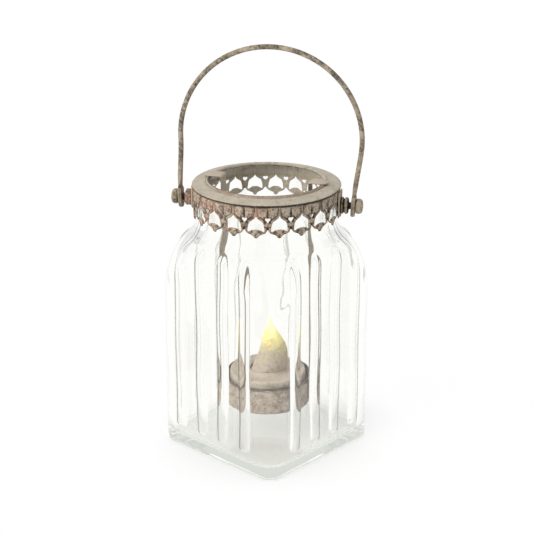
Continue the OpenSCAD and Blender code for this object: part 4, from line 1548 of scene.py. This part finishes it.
@dataclass
class Bail:
    """Horseshoe of round wire with flattened ends, which the pins hold."""

    wire_r: float = 1.3
    arch_r: float = 46.697
    arch_z: float = 166.915
    lean: float = 3.0
    pin_z: float = 133.316
    eye_x: float = 45.0
    eye_t: float = 2.0
    eye_r: float = 3.8
    eye_up: float = 2.2
    eye_down: float = 1.9
    leg_foot: float = 4.4
    flat_h: float = 7.0
    bent: float = 2.1
    bent_z: Range = (3.0, 33.0)
    sort_from: Place = (31.0, 117.0, -53.0)

    def wire(self) -> Piece:
        """The bent wire: a ring extruded up one leg, spun over the top and down the other.

        Returns:
            The wire.
        """
        clear_bench()
        lean = math.radians(self.lean)
        up = Vector((math.sin(lean), 0, math.cos(lean)))
        top = Vector((self.arch_r * math.cos(lean), 0, self.arch_z - self.arch_r * math.sin(lean)))
        length = (top.z - self.pin_z - self.leg_foot) / up.z
        foot = top - up * length
        bpy.ops.mesh.primitive_circle_add(
            vertices=20, radius=self.wire_r * MM, location=foot * MM, rotation=(0, lean, 0)
        )
        wire = bpy.context.object
        set_place(wire)
        edit_all()
        steps = 24
        for _ in range(steps):
            bpy.ops.mesh.extrude_region_move(
                TRANSFORM_OT_translate={"value": up * length * MM / steps}
            )
        bpy.ops.mesh.spin(
            steps=120,
            angle=math.pi + 2 * lean,
            center=(0, 0, self.arch_z * MM),
            axis=(0, 1, 0),
        )
        down = Vector((up.x, 0, -up.z)) * length * MM / steps
        for _ in range(steps):
            bpy.ops.mesh.extrude_region_move(TRANSFORM_OT_translate={"value": down})
        bpy.ops.mesh.select_all(action="SELECT")
        bpy.ops.mesh.remove_doubles(threshold=0.004 * MM)
        bpy.ops.mesh.fill_holes(sides=0)
        bpy.ops.mesh.normals_make_consistent(inside=False)
        bpy.ops.object.mode_set(mode="OBJECT")
        return wire

    def hammer(self, wire: Piece) -> None:
        """Flattens the wire towards its ends, bends it a little and makes it slightly uneven.

        Args:
            wire: The wire.
        """
        x, y, z = points_of(wire).T
        near = np.clip(1 - (z - self.pin_z - self.leg_foot) / self.flat_h, 0, 1) ** 1.5
        lean = math.tan(math.radians(self.lean))
        side = np.sign(x)
        middle = self.eye_x + (z - self.pin_z) * lean
        flat = near * (z < self.arch_z)
        x_new = np.where(flat > 0, side * (middle + (np.abs(x) - middle) * (1 - 0.3 * flat)), x)
        y_new = y * (1 + 1.1 * flat)
        around = np.arctan2(z - self.arch_z, x)
        swell = 0.035 * np.sin(around * 23) + 0.03 * np.sin(around * 41 + 1) * np.sin(around * 7)
        y_new *= 1 + swell * (flat == 0)
        low, high = self.bent_z
        rise = np.clip((z - self.pin_z - low) / (high - low), 0, 1)
        x_new = x_new + self.bent * rise * rise * (3 - 2 * rise)
        send_points(wire, np.stack([x_new, y_new, z], axis=1))

    def eye(self, side: Side) -> Piece:
        """The flattened end of one leg: a disc drawn out above and below the pin.

        Args:
            side: The side of the lantern.

        Returns:
            The piece.
        """
        clear_bench()
        bpy.ops.mesh.primitive_cylinder_add(
            vertices=48,
            radius=self.eye_r * MM,
            depth=self.eye_t * MM,
            location=(side.value * self.eye_x * MM, 0, self.pin_z * MM),
            rotation=(0, math.pi / 2, 0),
        )
        eye = bpy.context.object
        set_place(eye)
        places = points_of(eye)
        above = places[:, 2] > self.pin_z + 0.01
        below = places[:, 2] < self.pin_z - 0.01
        places[above, 2] += self.eye_up
        places[below, 2] -= self.eye_down
        lean = math.tan(math.radians(self.lean))
        places[:, 0] += side.value * (places[:, 2] - self.pin_z) * lean
        send_points(eye, places)
        apply_modifier(
            eye, "BEVEL", width=0.55 * MM, segments=3, limit_method="ANGLE", angle_limit=0.9
        )
        return eye

    def shade_sides(self, wire: Piece) -> None:
        """Leaves only the eyes' rims worn, as the wire is round, and darkens its sides with painted
        shade.

        Args:
            wire: The wire, with its marks.
        """
        y, z = points_of(wire).T[1:]
        worn = column(wire.data.attributes["edge"].data, "value")
        hollow = column(wire.data.attributes["hollow"].data, "value")
        # painted shade along the wire's inner and outer sides
        side = np.clip(1.15 - 1.7 * np.abs(y) / self.wire_r, 0, 1)
        side = side * (z > self.pin_z + self.leg_foot)
        patchy = 0.75 + 0.25 * np.sin(z / 5.0 + y)
        store(wire, "edge", np.clip(1.8 * (worn - 0.42), 0, 1))
        store(wire, "hollow", np.clip(hollow + 0.36 * side * patchy, 0, 1))

    def build(self, finish: bpy.types.Material) -> None:
        """Builds the bail and dresses it.

        Args:
            finish: Its paint.
        """
        wire = self.wire()
        self.hammer(wire)
        for side in Side:
            eye = self.eye(side)
            pick(wire)
            union = wire.modifiers.new("eye", "BOOLEAN")
            union.operation, union.object = "UNION", eye
            bpy.ops.object.modifier_apply(modifier=union.name)
            bpy.data.objects.remove(eye)
        pick(wire)
        edit_all()
        # a union leaves its points in no fixed order, so they are sorted before they merge
        bpy.context.scene.cursor.location = Vector(self.sort_from) * MM
        bpy.ops.mesh.sort_elements(type="CURSOR_DISTANCE", elements={"VERT", "EDGE", "FACE"})
        bpy.context.scene.cursor.location = (0, 0, 0)
        bpy.ops.mesh.remove_doubles(threshold=0.03 * MM)
        bpy.ops.mesh.dissolve_degenerate(threshold=0.01 * MM)
        bpy.ops.object.mode_set(mode="OBJECT")
        wire.name = wire.data.name = "bail_wire"
        smooth(wire, 45)
        mark_edges(wire, full=1.0)
        self.shade_sides(wire)
        hand_over(wire, Body.BAIL, Slot.BAIL, finish, "bail_handle")


# --- candle holder ---------------------------------------------------------------------------


@dataclass
class CandleHolder:
    """Round cup for the tealight, hung on two straps that hook on the collar's roll."""

    cup_r: float = 22.6
    cup_z: float = 23.2
    cup_h: float = 15.5
    sheet: float = 0.8
    roll_r: float = 0.7
    turn: float = -4.0
    strap_x: float = 22.65
    strap_w: float = 8.4
    strap_t: float = 0.6
    strap_low: float = 26.2
    tab_z: float = 145.42
    tab_x: float = 32.2
    rivet_z: float = 31.725
    rivet_r: float = 1.9
    tail_x: float = 21.05
    tail_r: float = 1.7
    shank_r: float = 1.0

    def cup(self) -> Piece:
        """The cup with its rolled rim, slightly uneven by hand.

        Returns:
            The cup.
        """
        r, low, top = self.cup_r, self.cup_z, self.cup_z + self.cup_h
        inner, roll = r - self.sheet, self.roll_r
        profile = [(0.0, low + 0.2), (8.0, low + 0.2), (15.0, low + 0.1), (r - 2.2, low)]
        profile += [(r - 1.2, low + 0.05), (r - 0.5, low + 0.35), (r - 0.1, low + 0.9)]
        profile += [(r, low + 1.6), (r, low + 5), (r - 0.1, low + 9), (r - 0.15, top - 2.2)]
        profile += arc((r - roll, top - roll), roll, roll, range(-30, 211, 24))
        profile += [(inner - 0.1, top - 2.2), (inner, low + 9), (inner, low + 2.2)]
        profile += [(inner - 0.3, low + 1.3), (inner - 1.2, low + 0.85), (15.0, low + 0.8)]
        profile += [(0.0, low + 0.8)]
        cup = turned("cup", profile, sides=144)
        places = points_of(cup)
        around = np.arctan2(places[:, 1], places[:, 0])
        up = np.clip((places[:, 2] - low - 2) / (self.cup_h - 2), 0, 1)
        wave = 0.16 * np.sin(5 * around + 0.6) + 0.1 * np.sin(11 * around)
        wave = wave + 0.06 * np.sin(19 * around)
        places[:, 2] += np.minimum(wave - 0.22, 0) * up**2
        dent = 1 - 0.004 * (np.sin(7 * around + 1) + np.sin(3 * around)) * up
        places[:, :2] *= np.minimum(dent, 1)[:, None]
        send_points(cup, places)
        smooth(cup, 50)
        # painted shade: a dark band along the rolled rim, above a wavy line
        line = top - 1.5 + 0.25 * np.sin(9 * around) + 0.2 * np.sin(23 * around + 1)
        dark = np.clip((places[:, 2] - line) / 0.3, 0, 0.85)
        store(cup, "hollow", dark)
        store(cup, "edge", np.zeros(len(dark)))
        return cup

    def strap(self, side: Side) -> Piece:
        """A strap: an edge extruded up the cup's side and bent over into a tab.

        Args:
            side: The side of the lantern.

        Returns:
            The piece.
        """
        x, top = self.strap_x, self.tab_z + self.strap_t
        path = [(x, z) for z in np.linspace(self.strap_low + 1, top - 1.2, 16)]
        path += [(x + 0.1, top - 0.6), (x + 0.4, top - 0.2), (x + 0.9, top)]
        ends = (3.6, 2.8, 2.0, 1.3, 0.7, 0.25, 0.0)
        path += [(x + 3.5, top)] + [(self.tab_x - e, top - 0.05 * (4 - e)) for e in ends]
        clear_bench()
        bpy.ops.mesh.primitive_plane_add(size=self.strap_w * MM, location=(0, 0, 0))
        strap = bpy.context.object
        low, half = self.strap_low, self.strap_w / 2
        narrow = 0.6 * half
        foot = [(x, -narrow, low), (x, narrow, low), (x, -half, low + 1), (x, half, low + 1)]
        send_points(strap, np.array(foot))
        bpy.ops.object.mode_set(mode="EDIT")
        bpy.ops.mesh.select_mode(type="VERT")
        bpy.ops.mesh.select_all(action="DESELECT")
        bpy.ops.object.mode_set(mode="OBJECT")
        for vertex in strap.data.vertices:
            vertex.select = vertex.co.z > (low + 0.5) * MM
        bpy.ops.object.mode_set(mode="EDIT")
        bpy.ops.mesh.select_mode(type="EDGE")
        for (ax, az), (bx, bz) in zip(path, path[1:]):
            bpy.ops.mesh.extrude_region_move(
                TRANSFORM_OT_translate={"value": ((bx - ax) * MM, 0, (bz - az) * MM)}
            )
        bpy.ops.mesh.select_all(action="SELECT")
        bpy.ops.mesh.normals_make_consistent(inside=False)
        bpy.ops.mesh.select_mode(type="VERT")
        bpy.ops.object.mode_set(mode="OBJECT")
        if strap.data.polygons[4].normal.x >= 0:
            strap.data.flip_normals()
        apply_modifier(strap, "SOLIDIFY", thickness=self.strap_t * MM, offset=-1.0)
        apply_modifier(
            strap, "BEVEL", width=0.22 * MM, segments=2, limit_method="ANGLE", angle_limit=0.9
        )
        places = points_of(strap)
        past = np.clip((places[:, 0] - self.tab_x + 3.2) / 3.3, 0, 1)
        places[:, 1] *= 1 - 0.62 * past**1.6
        send_points(strap, places)
        if side is Side.LEFT:
            strap.data.transform(Matrix.Rotation(math.pi, 4, "Z"))
        strap.data.transform(Matrix.Rotation(math.radians(self.turn), 4, "Z"))
        strap.name = strap.data.name = "strap_" + side.label
        smooth(strap, 45)
        mark_edges(strap, full=1.0)
        return strap

    def rivet(self, side: Side) -> Piece:
        """A rivet through strap and cup with a domed head outside.

        Args:
            side: The side of the lantern.

        Returns:
            The piece.
        """
        x = self.strap_x + self.strap_t + 0.05
        profile = [(0.0, self.tail_x), (self.tail_r, self.tail_x)]
        profile += [(self.tail_r, self.tail_x + 0.45), (self.shank_r, self.tail_x + 0.5)]
        profile += [(self.shank_r, x), (self.rivet_r, x), (self.rivet_r, x + 0.3)]
        profile += arc((0.0, x + 0.3), self.rivet_r, 0.75, (20, 40, 60, 75))
        profile += [(0.0, x + 1.06)]
        rivet = turned("rivet_" + side.label, profile, sides=32)
        laid_on_axis(rivet, side, self.rivet_z, self.turn)
        smooth(rivet)
        mark_edges(rivet, full=1.4)
        return rivet

    def build(self, finish: bpy.types.Material, dark: bpy.types.Material) -> None:
        """Builds cup, straps and rivets and dresses them.

        Args:
            finish: The cup's paint.
            dark: The bail's paint, for the rivets.
        """
        hand_over(self.cup(), Body.HOLDER, Slot.CUP, finish, "candle_cup")
        for side in Side:
            label = side.label
            hand_over(self.strap(side), Body.HOLDER, Slot.CUP, finish, "hanger_strap_" + label)
            hand_over(self.rivet(side), Body.HOLDER, Slot.BAIL, dark, "strap_rivet_" + label)


# --- tealight --------------------------------------------------------------------------------


@dataclass
class Tealight:
    """Battery tealight: wax-like body, glowing flame, and the parts under its deck."""

    flame_r: float = 7.5
    deck_z: float = 40.2
    tip_z: float = 69.6
    power: float = 1.75
    foot_r: float = 9.4
    foot_z: Range = (38.0, 38.85)
    hollow_r: float = 6.9
    hollow_h: float = 26.0
    hollow_power: float = 1.6
    lean: float = 3.4
    tip_lean: float = 1.8

    def flame(self) -> Piece:
        """The flame, drawn up to a tip that leans and twists a little.

        Returns:
            The flame.
        """
        steps, hollow_steps = 26, 12
        flame_h = self.tip_z - self.deck_z
        low, top = self.foot_z
        profile = [(self.hollow_r, low), (self.foot_r, low), (self.foot_r, top)]
        profile += [(self.flame_r, top)]
        for k in range(steps + 1):
            t = k / steps
            profile.append((self.flame_r * (1 - t**self.power), self.deck_z + flame_h * t))
        for k in range(hollow_steps, -1, -1):
            t = k / hollow_steps
            r = max(self.hollow_r * (1 - t**self.hollow_power), 0.0)
            profile.append((r, self.deck_z + self.hollow_h * t))
        flame = turned("flame", profile, sides=64, closed=True)
        places = points_of(flame)
        up = np.clip((places[:, 2] - self.deck_z) / flame_h, 0, 1)
        around = np.arctan2(places[:, 1], places[:, 0])
        fluted = 1 + 0.06 * np.sin(3 * around + 4 * up) * np.sin(np.pi * up)
        places[:, :2] *= fluted[:, None]
        free = (places[:, 2] > self.deck_z) * np.sin(np.pi * up**0.62)
        places[:, 0] += self.lean * free + self.tip_lean * up**2
        send_points(flame, places)
        smooth(flame, 60)
        return flame

    def shell(self, frame: dict) -> Piece:
        """The body: a merged copy of the part's own, smoothed round its rim.


        Returns:
            The body.
        """
        clear_bench()
        source = frame["nodes"]["tealight_shell"]
        shell = bpy.data.objects.new("tealight_body", source.data.copy())
        bpy.context.collection.objects.link(shell)
        close_mesh(shell, 0.002)
        smooth(shell, 34)
        mark_edges(shell, full=2.0, passes=1)
        return shell

    def build(self, frame: dict) -> None:
        """Builds the flame and body, and dresses the nodes that stay as they are.
        """
        hand_over(self.flame(), Body.TEALIGHT, Slot.FLAME, FlameGlow().mixed(), "flame_bulb")
        wax = AgedPaint(
            "wax_plastic",
            coat=paint(208, 194, 178),
            faded=paint(196, 182, 165),
            stain=paint(140, 126, 110),
            bare=paint(206, 193, 176),
            mottle=7.0,
            speck_share=0.4,
            stain_share=0.45,
            gloss=0.5,
            metal=0.0,
        )
        hand_over(self.shell(frame), Body.TEALIGHT, Slot.WAX, wax.mixed(), "tealight_shell")
        door = Plain(
            "door_plastic",
            paint(214, 205, 186),
            paint(204, 194, 174),
            rough=0.5,
            grain=0.5,
            depth=0.04,
        )
        lamp = Plain("lamp_plastic", paint(250, 232, 170), paint(246, 222, 150), 0.18)
        board = Plain("board_green", paint(52, 108, 66), paint(40, 92, 56), 0.38)
        cell = Plain("cell_steel", paint(196, 196, 198), paint(182, 182, 184), 0.3, 1.0)
        screw = Plain("screw_steel", paint(170, 170, 170), paint(150, 150, 150), 0.34, 1.0)
        case = Plain("case_plastic", paint(84, 84, 84), paint(72, 72, 72), 0.5)
        switch = Plain("switch_plastic", paint(46, 46, 46), paint(38, 38, 38), 0.42)
        finishes = {
            "battery_door": door,
            "led_lamp": lamp,
            "circuit_board": board,
            "coin_cell": cell,
            "door_screw": screw,
            "switch_housing": case,
            "switch_slider": switch,
        }
        brass = Plain("contact_brass", paint(206, 172, 108), paint(190, 154, 92), 0.28, 1.0).mixed()
        for name, finish in finishes.items():
            self.dress_node(frame, name, finish.mixed())
        for name in ("cell_contact_upper", "cell_contact_lower"):
            self.dress_node(frame, name, brass)

    def dress_node(self, frame: dict, name: str, finish: bpy.types.Material) -> None:
        """Gives a finish to a node of the part that stays.

        Args:
            name: The node's name.
            finish: The finish.
        """
        node = frame["nodes"][name]
        for slot in node.material_slots:
            slot.material = finish
        LOG.info("%s keeps its form, dressed in %s", name, finish.name)


# --- the studio ------------------------------------------------------------------------------


@dataclass
class Studio:
    """White table under soft light, and the camera.

    The camera's place, aim and lens are in millimetres, everything else is in metres.
    """

    camera_place: Place = (146.1, -775.4, 385.3)
    aim: Place = (0.0, 0.0, 97.49)
    focal: float = 108.92
    sensor: float = 36.0
    near: float = 0.02
    table_r: float = 7.0
    table_drop: float = 0.0002
    shadow_ring_reach: Range = (0.04, 0.09)
    shadow_ring_glow: Range = (0.45, 0.94)
    far_reach: Range = (0.3, 0.9)
    far_glow: Range = (0.0, 0.06)
    sky: float = 0.66
    lamp_aim: Place = (0.0, 0.0, 0.1)
    key_place: Place = (-1.1, -1.15, 1.1)
    key_size: float = 1.0
    key_power: float = 27.0
    top_place: Place = (0.1, 0.3, 1.8)
    top_size: float = 1.4
    top_power: float = 12.0

    def camera(self) -> None:
        """Creates the camera and aims it."""
        data = bpy.data.cameras.new("camera")
        data.lens, data.sensor_width, data.clip_start = self.focal, self.sensor, self.near
        camera = bpy.data.objects.new("camera", data)
        bpy.context.collection.objects.link(camera)
        place, aim = Vector(self.camera_place) * MM, Vector(self.aim) * MM
        camera.location = place
        camera.rotation_euler = (aim - place).to_track_quat("-Z", "Y").to_euler()
        bpy.context.scene.camera = camera

    def table(self) -> None:
        """Adds the table, white and faintly glowing, with the object's shadow on it and a painted
        shadow that darkens it round the foot.
        """
        clear_bench()
        bpy.ops.mesh.primitive_circle_add(
            vertices=96,
            radius=self.table_r,
            fill_type="NGON",
            location=(0, 0, -self.table_drop),
        )
        table = bpy.context.object
        table.name = table.data.name = "table"
        set_place(table)
        r = Recipe("table_white")
        away = r.node("VectorMath", {0: r.place()}, operation="LENGTH").outputs["Value"]
        # painted shadow: less glow near the foot, so the table darkens round it
        shadow_ring_share = r.spread(away, *self.shadow_ring_reach, self.shadow_ring_glow)
        share = r.sum(shadow_ring_share, r.spread(away, *self.far_reach, self.far_glow))
        board = r.node("BsdfDiffuse", {"Color": (0.9, 0.9, 0.895, 1.0)})
        glow = r.node("Emission", {"Color": (1.0, 1.0, 1.0, 1.0), "Strength": 1.0})
        shaders = {0: share, 1: board.outputs[0], 2: glow.outputs[0]}
        table.data.materials.append(r.done("MixShader", shaders))

    def world(self) -> None:
        """White all round for sight and mirrors, and dimmer as light on the object."""
        r = Recipe("sky", world=True)
        path = r.node("LightPath").outputs
        seen = path["Is Camera Ray"]
        for name in ("Is Glossy Ray", "Is Transmission Ray"):
            seen = r.node("Math", {0: seen, 1: path[name]}, operation="MAXIMUM").outputs[0]
        strength = r.node("MapRange", {"Value": seen, "To Min": self.sky, "To Max": 1.0})
        bpy.context.scene.world = r.done("Background", {"Strength": strength.outputs[0]})

    def lamp(self, name: str, place: Place, size: float, power: float) -> None:
        """Adds a soft square lamp that faces the lantern.

        Args:
            name: Its name.
            place: Its place, in metres.
            size: Its side, in metres.
            power: Its power, in watts.
        """
        data = bpy.data.lights.new(name, "AREA")
        data.shape, data.size, data.energy = "SQUARE", size, power
        lamp = bpy.data.objects.new(name, data)
        bpy.context.collection.objects.link(lamp)
        lamp.location = place
        towards = Vector(self.lamp_aim) - Vector(place)
        lamp.rotation_euler = towards.to_track_quat("-Z", "Y").to_euler()
        lamp.visible_camera = lamp.visible_glossy = lamp.visible_transmission = False

    def build(self) -> None:
        """Sets up the whole studio."""
        bpy.context.scene.view_settings.view_transform = "Standard"
        self.camera()
        self.table()
        self.world()
        self.lamp("key_light", self.key_place, self.key_size, self.key_power)
        self.lamp("top_light", self.top_place, self.top_size, self.top_power)


def main() -> None:
    """Builds the lantern's pieces in order and sets up the studio."""
    logging.basicConfig(level=logging.INFO, format="%(name)s: %(message)s")
    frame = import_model()
    collar_paint = AgedPaint(
        "collar_paint",
        coat=paint(181, 172, 155),
        faded=paint(171, 162, 146),
        stain=paint(108, 98, 84),
        bare=paint(152, 124, 104),
        speck_share=0.6,
        stain_share=0.4,
    )
    lace_paint = AgedPaint(
        "lace_paint",
        coat=paint(172, 158, 141),
        faded=paint(173, 141, 123),
        stain=paint(92, 80, 68),
        bare=paint(190, 177, 156),
        mottle=14.0,
        speck_share=0.85,
        stain_share=0.8,
        rub=0.4,
        drift=0.1,
        grime=0.06,
        speck_size=1.0,
        shine=0.1,
        metal=0.05,
    )
    bail_paint = AgedPaint(
        "bail_paint",
        coat=paint(180, 166, 146),
        faded=paint(148, 133, 111),
        stain=paint(58, 56, 54),
        bare=paint(164, 150, 126),
        mottle=8.0,
        speck_share=0.7,
        stain_share=0.5,
        speck_size=1.3,
        dashes=0.7,
    )
    cup_paint = AgedPaint(
        "cup_paint",
        coat=paint(208, 194, 179),
        faded=paint(188, 172, 157),
        stain=paint(140, 124, 110),
        bare=paint(176, 162, 146),
        mottle=5.0,
        speck_share=0.7,
        stain_share=0.8,
        grime=0.05,
        speck_size=1.0,
    )
    GlassJar().build(ClearGlass())
    CollarPlate().build(collar_paint)
    lace, bail = lace_paint.mixed(), bail_paint.mixed()
    PiercedSkirt().build(lace)
    Lugs().build(lace, bail)
    Bail().build(bail)
    CandleHolder().build(cup_paint.mixed(), bail)
    Tealight().build(frame)
    Studio().build()


if __name__ == "__main__":
    main()
